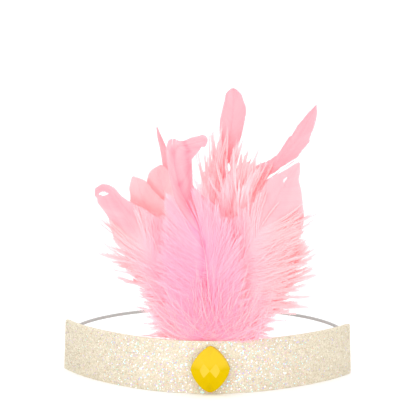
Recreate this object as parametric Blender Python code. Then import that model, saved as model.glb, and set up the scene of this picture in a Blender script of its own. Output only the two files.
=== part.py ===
"""Carnival feather headdress: a glitter band with a jewel, a plume of dyed feathers and an elastic.

Metres, +Z up. The origin is the middle of the band's lower edge at the front, in the middle of its wall.
+X is to the right as seen from the front, and +Y goes back over the head. The band stands on its lower edge.
"""
from collections import namedtuple
from math import cos, pi, radians, sin, sqrt

import bmesh
import bpy
from mathutils import Vector

# Driving sizes of the band
BAND_HEIGHT = 0.030
BAND_WALL = 0.002
BAND_HALF_ARC = 0.1097
BAND_LEAN = 0.0010
BAND_CORNER = 0.0015
BAND_STEPS = 22

# The jewel, and how far right of the band's middle it and the plume are glued
JEWEL_WIDTH = 0.0220
JEWEL_HEIGHT = 0.0263
JEWEL_DEPTH = 0.0068
JEWEL_GIRDLE = 0.0022
JEWEL_RISE = 0.0145
JEWEL_ROUNDNESS = 1.4
JEWEL_CELLS = 4
JEWEL_TABLE = 0.0012
JEWEL_FULLNESS = 0.8
ORNAMENT_SHIFT = 0.0056

# The elastic, fixed along the inside of the band near its ends
ELASTIC_DIAMETER = 0.0020
ELASTIC_RISE = 0.0225
ELASTIC_SAG = 0.0025
ELASTIC_REACH = 0.1617
ELASTIC_HELD = 0.014
ELASTIC_HOLDS = (1.0, 0.66, 0.33)
ELASTIC_TURNS = 12
ELASTIC_POINTS = 64
CURVE_PARTS = 24

# The plume: its reach to each side and above the band, and what its layers keep between them
PLUME_REACH = 0.060
PLUME_HEIGHT = 0.140
PLUME_LAYER = 0.0055
PLUME_LAYER_LOW = 0.0018
PLUME_SPREAD = 0.045
PLUME_PUFF = 0.0030
PUFF_END = 0.625
PLUME_LEAN_BACK = 0.009
PLUME_CUP = 0.006
PLUME_FLUFF = 0.0035
FLUFF_FROM = 0.2
LAYER_FILL = 0.62
QUILL_DIAMETER = 0.0016
QUILL_SIDES = 8
QUILL_FOOT = 0.006
QUILL_PINCH = 0.90
VANE_WIDTH = 0.025
VANE_FULLNESS = 0.8
BLADE_THICKNESS = 0.0008
BLADE_GAIN = 0.12
LOCK_PITCH = 0.0042
LOCK_NOTCH = 0.28
BARB_ANGLE_FOOT = radians(72)
BARB_ANGLE_TIP = radians(42)

# The felt patch that holds the quills
PATCH_WIDTH = 0.040
PATCH_BOTTOM = 0.004
PATCH_TOP = 0.017
PATCH_WALL = 0.0012
PATCH_HEM = 0.005
PATCH_STEPS = 12

# The gap that touching pieces keep
GAP = 0.0003

# Edges that turn more than this stay sharp where a body is shaded smooth
SHARP_ANGLE = radians(50)

# Heading of the band, in degrees from the X axis, at shares of its half arc
Bend = namedtuple("Bend", "share heading")
BAND_BENDS = (
    Bend(0.0, 0.0),
    Bend(0.2, 17.9),
    Bend(0.4, 34.1),
    Bend(0.6, 42.3),
    Bend(0.8, 51.9),
    Bend(0.9, 57.5),
    Bend(1.0, 62.7),
)

# A feather's layer counts back from the front. Its spine has (x, z) points, as shares of the plume's reach
# and height from the top of the band, and its vane has sections: a share of the vane's length, then the
# barbs' length to the left and to the right as shares of the vane width.
Feather = namedtuple("Feather", "name layer spine vane")
FEATHERS = (
    Feather(
        "feather_folded", 0,
        ((-0.02, 0.0), (-0.03, 0.21), (-0.12, 0.43), (-0.28, 0.60), (-0.38, 0.725), (-0.26, 0.78),
         (-0.08, 0.79)),
        ((0.0, 0.5, 0.5), (0.08, 0.8, 0.8), (0.25, 1.0, 1.0), (0.45, 0.8, 0.8), (0.62, 0.35, 0.5),
         (0.75, 0.16, 0.5), (0.85, 0.3, 0.55), (0.93, 0.25, 0.45), (1.0, 0.15, 0.2)),
    ),
    Feather(
        "feather_curl", 1,
        ((-0.19, 0.0), (-0.33, 0.18), (-0.57, 0.34), (-0.83, 0.49), (-0.98, 0.585), (-1.10, 0.585)),
        ((0.0, 0.3, 0.3), (0.1, 0.55, 0.45), (0.35, 0.75, 0.95), (0.6, 0.7, 0.75), (0.8, 0.5, 0.25),
         (0.9, 0.3, 0.16), (1.0, 0.04, 0.04)),
    ),
    Feather(
        "feather_broad", 1,
        ((0.19, 0.0), (0.25, 0.18), (0.38, 0.36), (0.57, 0.54), (0.73, 0.69)),
        ((0.0, 0.3, 0.6), (0.08, 0.35, 1.0), (0.25, 0.55, 1.1), (0.45, 0.8, 1.1), (0.65, 0.85, 0.95),
         (0.82, 0.7, 0.7), (0.94, 0.45, 0.4), (1.0, 0.1, 0.1)),
    ),
    Feather(
        "feather_low_left", 2,
        ((-0.23, 0.0), (-0.32, 0.10), (-0.45, 0.19), (-0.60, 0.26), (-0.78, 0.31)),
        ((0.0, 0.6, 0.3), (0.15, 0.9, 0.5), (0.4, 0.8, 0.9), (0.7, 0.55, 0.8), (1.0, 0.05, 0.1)),
    ),
    Feather(
        "feather_low_right", 2,
        ((0.23, 0.0), (0.32, 0.10), (0.44, 0.20), (0.58, 0.29), (0.74, 0.39)),
        ((0.0, 0.3, 0.6), (0.15, 0.45, 0.9), (0.4, 0.8, 0.8), (0.7, 0.7, 0.5), (1.0, 0.1, 0.05)),
    ),
    Feather(
        "feather_blunt", 3,
        ((-0.15, 0.0), (-0.25, 0.19), (-0.44, 0.37), (-0.65, 0.53), (-0.74, 0.63)),
        ((0.0, 0.3, 0.3), (0.1, 0.6, 0.4), (0.35, 0.75, 0.85), (0.6, 0.65, 0.8), (0.8, 0.42, 0.5),
         (0.93, 0.34, 0.42), (1.0, 0.22, 0.28)),
    ),
    Feather(
        "feather_curved", 3,
        ((0.15, 0.0), (0.20, 0.21), (0.28, 0.43), (0.45, 0.62), (0.73, 0.77), (0.97, 0.93)),
        ((0.0, 0.25, 0.3), (0.1, 0.35, 0.6), (0.3, 0.5, 0.75), (0.5, 0.6, 0.6), (0.62, 0.34, 0.24),
         (0.75, 0.22, 0.27), (0.9, 0.19, 0.22), (1.0, 0.02, 0.02)),
    ),
    Feather(
        "feather_round", 4,
        ((-0.07, 0.0), (-0.13, 0.19), (-0.25, 0.36), (-0.41, 0.52), (-0.55, 0.67)),
        ((0.0, 0.3, 0.15), (0.1, 0.5, 0.2), (0.35, 0.7, 0.38), (0.6, 0.65, 0.6), (0.8, 0.45, 0.55),
         (0.93, 0.38, 0.42), (1.0, 0.18, 0.2)),
    ),
    Feather(
        "feather_mid", 4,
        ((0.11, 0.0), (0.12, 0.21), (0.18, 0.43), (0.27, 0.61), (0.34, 0.71)),
        ((0.0, 0.15, 0.3), (0.1, 0.2, 0.6), (0.35, 0.22, 0.9), (0.6, 0.45, 0.95), (0.8, 0.6, 0.8),
         (0.93, 0.35, 0.5), (1.0, 0.1, 0.1)),
    ),
    Feather(
        "feather_spike", 5,
        ((-0.11, 0.0), (-0.17, 0.19), (-0.27, 0.40), (-0.41, 0.63), (-0.58, 0.85)),
        ((0.0, 0.2, 0.1), (0.1, 0.4, 0.15), (0.3, 0.55, 0.2), (0.5, 0.5, 0.2), (0.7, 0.22, 0.18),
         (0.85, 0.09, 0.09), (1.0, 0.02, 0.02)),
    ),
    Feather(
        "feather_tall", 5,
        ((0.06, 0.0), (0.03, 0.28), (0.04, 0.53), (0.11, 0.74), (0.19, 0.88), (0.19, 0.985)),
        ((0.0, 0.1, 0.3), (0.1, 0.18, 0.6), (0.3, 0.3, 0.85), (0.5, 0.55, 0.85), (0.63, 0.4, 0.45),
         (0.71, 0.26, 0.24), (0.82, 0.38, 0.37), (0.92, 0.36, 0.36), (1.0, 0.2, 0.16)),
    ),
    Feather(
        "feather_back", 6,
        ((0.02, 0.0), (0.0, 0.21), (-0.02, 0.43), (0.0, 0.61), (0.03, 0.70)),
        ((0.0, 0.5, 0.5), (0.1, 0.8, 0.8), (0.35, 1.15, 1.15), (0.6, 1.0, 1.05), (0.8, 0.7, 0.75),
         (0.93, 0.4, 0.45), (1.0, 0.12, 0.12)),
    ),
)
LAST_LAYER = max(feather.layer for feather in FEATHERS)

# Colours, roughness and metallic value of each material
CREAM_GLITTER = ((0.90, 0.79, 0.63), 0.45, 0.0)
JEWEL_YELLOW = ((0.94, 0.66, 0.0), 0.2, 0.0)
SILVER_ELASTIC = ((0.43, 0.41, 0.39), 0.5, 0.3)
CREAM_FELT = ((0.88, 0.80, 0.68), 0.9, 0.0)
FEATHER_PINK = ((1.0, 0.45, 0.60), 0.8, 0.0)


def between(rows, share):
    """Value at a share, on straight lines between rows of (share, value, ...)."""
    for low, high in zip(rows, rows[1:]):
        if share <= high[0]:
            part = (share - low[0]) / (high[0] - low[0])
            return [a + (b - a) * part for a, b in zip(low[1:], high[1:])]
    return list(rows[-1][1:])


def smooth_step(value):
    value = min(max(value, 0.0), 1.0)
    return value * value * (3 - 2 * value)


def band_plan():
    """Points (x, y) and headings of the right half of the band's middle line, from the front to the end."""
    step = BAND_HALF_ARC / BAND_STEPS
    x = y = 0.0
    plan = [(x, y, 0.0)]
    for index in range(BAND_STEPS):
        middle = radians(between(BAND_BENDS, (index + 0.5) / BAND_STEPS)[0])
        x += step * cos(middle)
        y += step * sin(middle)
        plan.append((x, y, radians(between(BAND_BENDS, (index + 1) / BAND_STEPS)[0])))
    return plan


PLAN = band_plan()


def band_point(arc, offset, height):
    """Point at an arc length from the front (left is negative), an offset inwards and a height."""
    side = -1 if arc < 0 else 1
    place = min(abs(arc) / BAND_HALF_ARC, 1.0) * BAND_STEPS
    index = min(int(place), BAND_STEPS - 1)
    part = place - index
    x, y, heading = [a + (b - a) * part for a, b in zip(PLAN[index], PLAN[index + 1])]
    x, y = x - offset * sin(heading), y + offset * cos(heading)
    lean = 1 - BAND_LEAN / PLAN[-1][0] * height / BAND_HEIGHT
    return Vector((side * x * lean, y, height))


def band_depth(x):
    """How far back the band's middle line is at a distance x from its middle."""
    for low, high in zip(PLAN, PLAN[1:]):
        if abs(x) <= high[0]:
            return low[1] + (high[1] - low[1]) * (abs(x) - low[0]) / (high[0] - low[0])
    return PLAN[-1][1]


def rings_to_mesh(name, rings):
    """A closed body through rings of as many points each, shaded smooth up to its sharp edges."""
    mesh = bpy.data.meshes.new(name)
    shape = bmesh.new()
    rows = [[shape.verts.new(point) for point in ring] for ring in rings]
    count = len(rows[0])
    for low, high in zip(rows, rows[1:]):
        for index in range(count):
            after = (index + 1) % count
            shape.faces.new((low[index], low[after], high[after], high[index]))
    shape.faces.new(rows[0])
    shape.faces.new(rows[-1])
    bmesh.ops.recalc_face_normals(shape, faces=shape.faces)
    shape.to_mesh(mesh)
    shape.free()
    mesh.shade_smooth()
    mesh.set_sharp_from_angle(angle=SHARP_ANGLE)
    return mesh


def add_object(name, data, look):
    """An object with a material of its own."""
    colour, roughness, metallic = look
    material = bpy.data.materials.new(name)
    material.use_nodes = True
    shader = material.node_tree.nodes["Principled BSDF"]
    shader.inputs["Base Color"].default_value = (*colour, 1)
    shader.inputs["Roughness"].default_value = roughness
    shader.inputs["Metallic"].default_value = metallic
    data.materials.append(material)
    thing = bpy.data.objects.new(name, data)
    bpy.context.scene.collection.objects.link(thing)
    return thing


def make_band():
    """The band: a curved wall with cut ends whose corners are a little rounded."""
    arcs = [BAND_HALF_ARC * index / BAND_STEPS for index in range(-BAND_STEPS, BAND_STEPS + 1)]
    corner = [BAND_CORNER * (1 - cos(radians(angle))) for angle in (30, 60, 90)]
    arcs = arcs[:1] + [arcs[0] + inset for inset in corner] + arcs[1:-1]
    arcs += [BAND_HALF_ARC - inset for inset in reversed(corner)] + [BAND_HALF_ARC]
    rings = []
    for arc in arcs:
        near_end = max(0.0, BAND_CORNER - (BAND_HALF_ARC - abs(arc)))
        cut = BAND_CORNER - sqrt(BAND_CORNER ** 2 - min(near_end, BAND_CORNER) ** 2)
        low, high = cut, BAND_HEIGHT - cut
        half = BAND_WALL / 2
        rings.append([
            band_point(arc, -half, low),
            band_point(arc, -half, high),
            band_point(arc, half, high),
            band_point(arc, half, low),
        ])
    add_object("glitter_band", rings_to_mesh("glitter_band", rings), CREAM_GLITTER)


def jewel_place(a, b):
    """Place on the jewel's outline plane of a lattice point, with a and b from -1 to 1."""
    x, z = (a + b) / 2, (a - b) / 2
    power = (abs(x) ** JEWEL_ROUNDNESS + abs(z) ** JEWEL_ROUNDNESS) ** (1 / JEWEL_ROUNDNESS)
    scale = (abs(x) + abs(z)) / power if power else 1.0
    return x * scale * JEWEL_WIDTH / 2, z * scale * JEWEL_HEIGHT / 2


def make_jewel():
    """The jewel: a low dome cut into a lattice of lozenges round a small table, on a curved back."""
    mesh = bpy.data.meshes.new("jewel")
    shape = bmesh.new()
    cells = range(JEWEL_CELLS + 1)
    middle = JEWEL_CELLS // 2
    seat = BAND_WALL / 2 + GAP
    dome = JEWEL_DEPTH - JEWEL_GIRDLE
    front, back = {}, {}
    for row in cells:
        for column in cells:
            a, b = row / middle - 1, column / middle - 1
            x, z = jewel_place(a, b)
            x += ORNAMENT_SHIFT
            wall = band_depth(x) - seat
            crown = band_depth(ORNAMENT_SHIFT) - seat - JEWEL_GIRDLE
            from_rim = max(1 - (a * a + b * b) / 2, 0.0)
            rise = dome * from_rim ** JEWEL_FULLNESS
            front[row, column] = shape.verts.new((x, crown - rise, JEWEL_RISE + z))
            back[row, column] = shape.verts.new((x, wall, JEWEL_RISE + z))
    for row in range(JEWEL_CELLS):
        for column in range(JEWEL_CELLS):
            corners = ((row, column), (row + 1, column), (row + 1, column + 1), (row, column + 1))
            shape.faces.new([front[corner] for corner in corners])
            shape.faces.new([back[corner] for corner in reversed(corners)])
    last = JEWEL_CELLS
    rim = [(index, 0) for index in range(last)] + [(last, index) for index in range(last)]
    rim += [(last - index, last) for index in range(last)] + [(0, last - index) for index in range(last)]
    for low, high in zip(rim, rim[1:] + rim[:1]):
        shape.faces.new((front[low], front[high], back[high], back[low]))
    bmesh.ops.bevel(
        shape, geom=[front[middle, middle]], offset=JEWEL_TABLE, affect="VERTICES", segments=1
    )
    bmesh.ops.recalc_face_normals(shape, faces=shape.faces)
    shape.to_mesh(mesh)
    shape.free()
    add_object("jewel", mesh, JEWEL_YELLOW)


def make_patch():
    """The patch: a curved felt strip with its two short edges turned in to the band."""
    inner = BAND_WALL / 2 + GAP
    over = inner + QUILL_DIAMETER + GAP
    rings = []
    for index in range(PATCH_STEPS + 1):
        arc = ORNAMENT_SHIFT + PATCH_WIDTH * (index / PATCH_STEPS - 0.5)
        from_edge = PATCH_WIDTH / 2 - abs(arc - ORNAMENT_SHIFT)
        face = inner + (over - inner) * smooth_step(2 * from_edge / PATCH_HEM - 1)
        rings.append([
            band_point(arc, face, PATCH_BOTTOM),
            band_point(arc, face, PATCH_TOP),
            band_point(arc, face + PATCH_WALL, PATCH_TOP),
            band_point(arc, face + PATCH_WALL, PATCH_BOTTOM),
        ])
    add_object("quill_patch", rings_to_mesh("quill_patch", rings), CREAM_FELT)


def elastic_route():
    """Points of the elastic: along the inside of the band's end, round the back, and in again."""
    inside = (BAND_WALL + ELASTIC_DIAMETER) / 2 + GAP
    arcs = [BAND_HALF_ARC - ELASTIC_HELD * share for share in ELASTIC_HOLDS]
    held = [band_point(arc, inside, ELASTIC_RISE) for arc in arcs]
    start = band_point(BAND_HALF_ARC, inside, ELASTIC_RISE)
    loop = []
    for index in range(1, ELASTIC_TURNS):
        angle = pi / 2 * (2 * index / ELASTIC_TURNS - 1)
        x = -start.x * sin(angle)
        back = cos(angle)
        loop.append(Vector((x, start.y + (ELASTIC_REACH - start.y) * back, ELASTIC_RISE - ELASTIC_SAG * back)))
    left = [Vector((-point.x, point.y, point.z)) for point in reversed(held)]
    return held + [start] + loop + [Vector((-start.x, start.y, start.z))] + left


def smooth_points(through, count):
    """Points at even steps along one smooth curve through the given points."""
    points = [2 * through[0] - through[1]] + list(through) + [2 * through[-1] - through[-2]]
    fine = []
    for index in range(1, len(points) - 2):
        before, low, high, after = points[index - 1:index + 3]
        knots = [0.0]
        for first, second in ((before, low), (low, high), (high, after)):
            knots.append(knots[-1] + (second - first).length ** 0.5)
        for part in range(CURVE_PARTS):
            at = knots[1] + (knots[2] - knots[1]) * part / CURVE_PARTS
            fine.append(knotted(before, low, high, after, knots, at))
    fine.append(through[-1])
    lengths = [0.0]
    for low, high in zip(fine, fine[1:]):
        lengths.append(lengths[-1] + (high - low).length)
    result = []
    index = 0
    for step in range(count):
        target = lengths[-1] * step / (count - 1)
        while index < len(lengths) - 2 and lengths[index + 1] < target:
            index += 1
        part = (target - lengths[index]) / (lengths[index + 1] - lengths[index])
        result.append(fine[index].lerp(fine[index + 1], min(part, 1.0)))
    return result


def knotted(before, low, high, after, knots, at):
    """A point between low and high on the curve through four points with uneven knots."""
    def mix(first, second, start, end):
        return first + (second - first) * ((at - start) / (end - start))

    a = mix(before, low, knots[0], knots[1])
    b = mix(low, high, knots[1], knots[2])
    c = mix(high, after, knots[2], knots[3])
    return mix(mix(a, b, knots[0], knots[2]), mix(b, c, knots[1], knots[3]), knots[1], knots[2])


def make_elastic():
    """The elastic: one round tube through the route."""
    curve = bpy.data.curves.new("elastic_cord", "CURVE")
    curve.dimensions = "3D"
    curve.bevel_depth = ELASTIC_DIAMETER / 2
    curve.bevel_resolution = 2
    curve.use_fill_caps = True
    points = smooth_points(elastic_route(), ELASTIC_POINTS)
    spline = curve.splines.new("POLY")
    spline.points.add(len(points) - 1)
    for place, point in zip(spline.points, points):
        place.co = (*point, 1)
    add_object("elastic_cord", curve, SILVER_ELASTIC)


def layer_pitch(z):
    """Distance from one layer of the plume to the next, at a height."""
    spread = smooth_step((z - BAND_HEIGHT) / PLUME_SPREAD)
    return PLUME_LAYER_LOW + (PLUME_LAYER - PLUME_LAYER_LOW) * spread


def layer_depth(layer, x, z):
    """How far back a layer's middle is: close behind the band, then puffed out, then leaning and cupped."""
    up = max(z - BAND_HEIGHT, 0.0) / PLUME_HEIGHT
    swell = min(up / PUFF_END, 1.0)
    front = BAND_WALL / 2 + GAP + QUILL_DIAMETER
    puff = 4 * PLUME_PUFF * swell * (1 - swell)
    cup = PLUME_CUP * ((x - ORNAMENT_SHIFT) / PLUME_REACH) ** 2
    return front + layer * layer_pitch(z) - puff + PLUME_LEAN_BACK * up * up + cup


def spine_points(feather):
    """The quill and spine in (x, z), from the foot to the tip, as Vectors with y left at zero."""
    points = []
    for across, up in feather.spine:
        points.append(Vector((ORNAMENT_SHIFT + across * PLUME_REACH, 0, BAND_HEIGHT + up * PLUME_HEIGHT)))
    foot_x = ORNAMENT_SHIFT + (points[0].x - ORNAMENT_SHIFT) * QUILL_PINCH
    foot = Vector((foot_x, 0, QUILL_FOOT))
    waist = Vector((foot_x + (points[0].x - foot_x) * 0.5, 0, (QUILL_FOOT + BAND_HEIGHT) / 2))
    return [foot, waist] + points


def quill_depth(layer, point):
    """Depth of the quill: against the band up to the patch's top, then out to its layer."""
    seat = band_depth(point.x) + BAND_WALL / 2 + GAP + QUILL_DIAMETER / 2
    out = smooth_step((point.z - PATCH_TOP) / (BAND_HEIGHT - PATCH_TOP))
    return seat + (layer_depth(layer, point.x, point.z) - seat) * out


def make_feather(feather):
    """One feather: a round quill, then a vane whose barbs are gathered in locks along both edges."""
    through = spine_points(feather)
    length = sum((high - low).length for low, high in zip(through, through[1:]))
    rows = smooth_points(through, int(length / LOCK_PITCH) + 1)
    floor = BAND_HEIGHT + 2 * GAP
    first = next(index for index, point in enumerate(rows) if point.z > floor + LOCK_PITCH / 4)
    rings = []
    for index, point in enumerate(rows):
        ahead = rows[min(index + 1, len(rows) - 1)] - rows[max(index - 1, 0)]
        ahead.normalize()
        right = Vector((ahead.z, 0, -ahead.x))
        if index < first:
            if point.z < floor - LOCK_PITCH / 4:
                rings.append(quill_ring(feather.layer, point, right))
            continue
        if index == first:
            low = rows[index - 1]
            neck = low.lerp(point, (floor - low.z) / (point.z - low.z))
            rings.append(quill_ring(feather.layer, neck, right))
        share = (index - first) / (len(rows) - 1 - first)
        left_barb, right_barb = between(feather.vane, share)
        notch = 1 - LOCK_NOTCH * (index % 2)
        angle = BARB_ANGLE_FOOT + (BARB_ANGLE_TIP - BARB_ANGLE_FOOT) * share
        reach = []
        for side, barb in ((-1, left_barb), (1, right_barb)):
            sweep = right * side * sin(angle) + ahead * cos(angle)
            reach.append(sweep * barb * VANE_WIDTH * notch)
        rings.append(vane_ring(feather.layer, point, reach, floor))
    name = feather.name
    add_object(name, rings_to_mesh(name, rings), FEATHER_PINK)


def quill_ring(layer, point, right):
    """Points round the quill, as many as round a vane."""
    radius = QUILL_DIAMETER / 2
    depth = quill_depth(layer, point)
    ring = []
    for index in range(QUILL_SIDES):
        turn = pi - index * 2 * pi / QUILL_SIDES
        place = point + right * radius * cos(turn)
        ring.append(Vector((place.x, depth - radius * sin(turn), place.z)))
    return ring


def vane_ring(layer, point, reach, floor):
    """Eight points round a vane: edge, middle and spine, in front and behind."""
    width = (reach[0].length + reach[1].length) / 2
    thickness = min(layer_pitch(point.z) * LAYER_FILL, BLADE_THICKNESS + BLADE_GAIN * width)
    fluff = PLUME_FLUFF * smooth_step(width / VANE_WIDTH - FLUFF_FROM)
    front = -thickness / 2 - (fluff if layer == 0 else 0.0)
    back = thickness / 2 + (fluff if layer == LAST_LAYER else 0.0)
    left, right = reach
    half = VANE_FULLNESS
    places = (
        (left, 1.0, 0.0), (left, 0.5, half * front), (left, 0.0, front), (right, 0.5, half * front),
        (right, 1.0, 0.0), (right, 0.5, half * back), (right, 0.0, back), (left, 0.5, half * back),
    )
    ring = []
    for barb, out, side in places:
        place = point + barb * out
        z = max(place.z, floor)
        ring.append(Vector((place.x, layer_depth(layer, place.x, z) + side, z)))
    return ring


def main():
    for thing in list(bpy.data.objects):
        bpy.data.objects.remove(thing)
    make_band()
    make_jewel()
    make_elastic()
    make_patch()
    for feather in FEATHERS:
        make_feather(feather)


main()
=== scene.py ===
"""Looks of the carnival feather headdress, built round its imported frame.

Metres, +Z up, in the part's own frame: the origin is the middle of the band's lower edge at the front,
+X is to the right as seen from the front and +Y goes back over the head.
"""
from collections import namedtuple
from math import cos, pi, radians, sin

import bmesh
import bpy
import numpy as np
from mathutils import Matrix, Vector


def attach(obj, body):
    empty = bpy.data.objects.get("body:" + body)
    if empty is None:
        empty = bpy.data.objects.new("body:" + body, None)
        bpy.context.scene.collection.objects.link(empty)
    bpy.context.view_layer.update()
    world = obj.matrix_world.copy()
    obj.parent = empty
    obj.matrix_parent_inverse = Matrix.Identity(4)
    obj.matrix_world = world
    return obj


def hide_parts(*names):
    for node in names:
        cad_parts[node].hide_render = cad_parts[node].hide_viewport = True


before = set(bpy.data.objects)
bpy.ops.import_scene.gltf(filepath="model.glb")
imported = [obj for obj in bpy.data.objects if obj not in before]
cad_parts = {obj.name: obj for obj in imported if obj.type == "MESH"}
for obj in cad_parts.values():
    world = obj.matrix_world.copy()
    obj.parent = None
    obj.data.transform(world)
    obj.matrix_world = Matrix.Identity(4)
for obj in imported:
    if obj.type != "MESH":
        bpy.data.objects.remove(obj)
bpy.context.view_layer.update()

# The photograph's camera, placed in the part's frame
CAMERA_PLACE = (0.05408, -0.87934, 0.20284)
CAMERA_AZIMUTH = radians(3.28)
CAMERA_PITCH = radians(6.35)
CAMERA_ROLL = radians(0.31)
CAMERA_LENS = 138.36
CAMERA_SENSOR = 36

# Sizes of the band, the jewel, the elastic and the patch, as the part has them
BAND_HEIGHT = 0.030
BAND_WALL = 0.002
BAND_HALF_ARC = 0.1097
BAND_LEAN = 0.0010
BAND_CORNER = 0.0015
BAND_EDGE = 0.00045
BAND_STEPS = 176
JEWEL_WIDTH = 0.0220
JEWEL_HEIGHT = 0.0263
JEWEL_DEPTH = 0.0068
JEWEL_GIRDLE = 0.0022
JEWEL_RISE = 0.0145
JEWEL_ROUNDNESS = 1.4
JEWEL_CELLS = 4
JEWEL_FINE = 8
JEWEL_TABLE = 0.0012
JEWEL_FULLNESS = 0.8
JEWEL_EDGE = 0.00018
ORNAMENT_SHIFT = 0.0056
ELASTIC_DIAMETER = 0.0020
ELASTIC_RISE = 0.0225
ELASTIC_SAG = 0.0025
ELASTIC_REACH = 0.1617
ELASTIC_HELD = 0.014
ELASTIC_HOLDS = (1.0, 0.66, 0.33)
ELASTIC_TURNS = 12
ELASTIC_LENGTH = 0.3141
ELASTIC_RINGS = 560
ELASTIC_SIDES = 18
ELASTIC_STRANDS = 9
ELASTIC_TWIST = 0.0030
ELASTIC_GROOVE = 0.00005
CURVE_PARTS = 24
PATCH_WIDTH = 0.040
PATCH_BOTTOM = 0.004
PATCH_TOP = 0.017
PATCH_WALL = 0.0012
PATCH_HEM = 0.005
PATCH_STEPS = 60
PATCH_CORNERS = 28
GAP = 0.0003

# How often light may bounce on its way through the down, how bright the surroundings are, and where the
# lamps point
LIGHT_BOUNCES = 96
WORLD_LIGHT = 1.27
LAMPS_AIM = (0, 0.03, 0.08)

# Soft lamps: name, place, power in watts and width
LAMPS = (
    ("key", (-0.35, -1.15, 0.95), 2.2, 0.46),
    ("left_strip", (-0.50, -0.75, 0.12), 1.2, 0.18),
    ("right_strip", (0.60, -0.72, 0.12), 1.1, 0.18),
)

# The plume's layers and vanes, as the part has them
PLUME_REACH = 0.060
PLUME_HEIGHT = 0.140
PLUME_LAYER = 0.0055
PLUME_LAYER_LOW = 0.0018
PLUME_SPREAD = 0.045
PLUME_PUFF = 0.0030
PUFF_END = 0.625
PLUME_LEAN_BACK = 0.009
PLUME_CUP = 0.006
QUILL_DIAMETER = 0.0016
QUILL_FOOT = 0.006
QUILL_PINCH = 0.90

# Heading of the band, in degrees from the X axis, at shares of its half arc
Bend = namedtuple("Bend", "share heading")
BAND_BENDS = (
    Bend(0.0, 0.0),
    Bend(0.2, 17.9),
    Bend(0.4, 34.1),
    Bend(0.6, 42.3),
    Bend(0.8, 51.9),
    Bend(0.9, 57.5),
    Bend(1.0, 62.7),
)

# Glitter flakes: how many, their half widths in the middle and at the ends, how far they tilt, and where
# the middle ends and how wide its fading edge is
FLAKES = 15000
FLAKE_WIDE = 0.00050
FLAKE_FINE = 0.00030
FLAKE_TILT = radians(28)
FLAKE_MIDDLE = 0.035
FLAKE_FADE = 0.05

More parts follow.
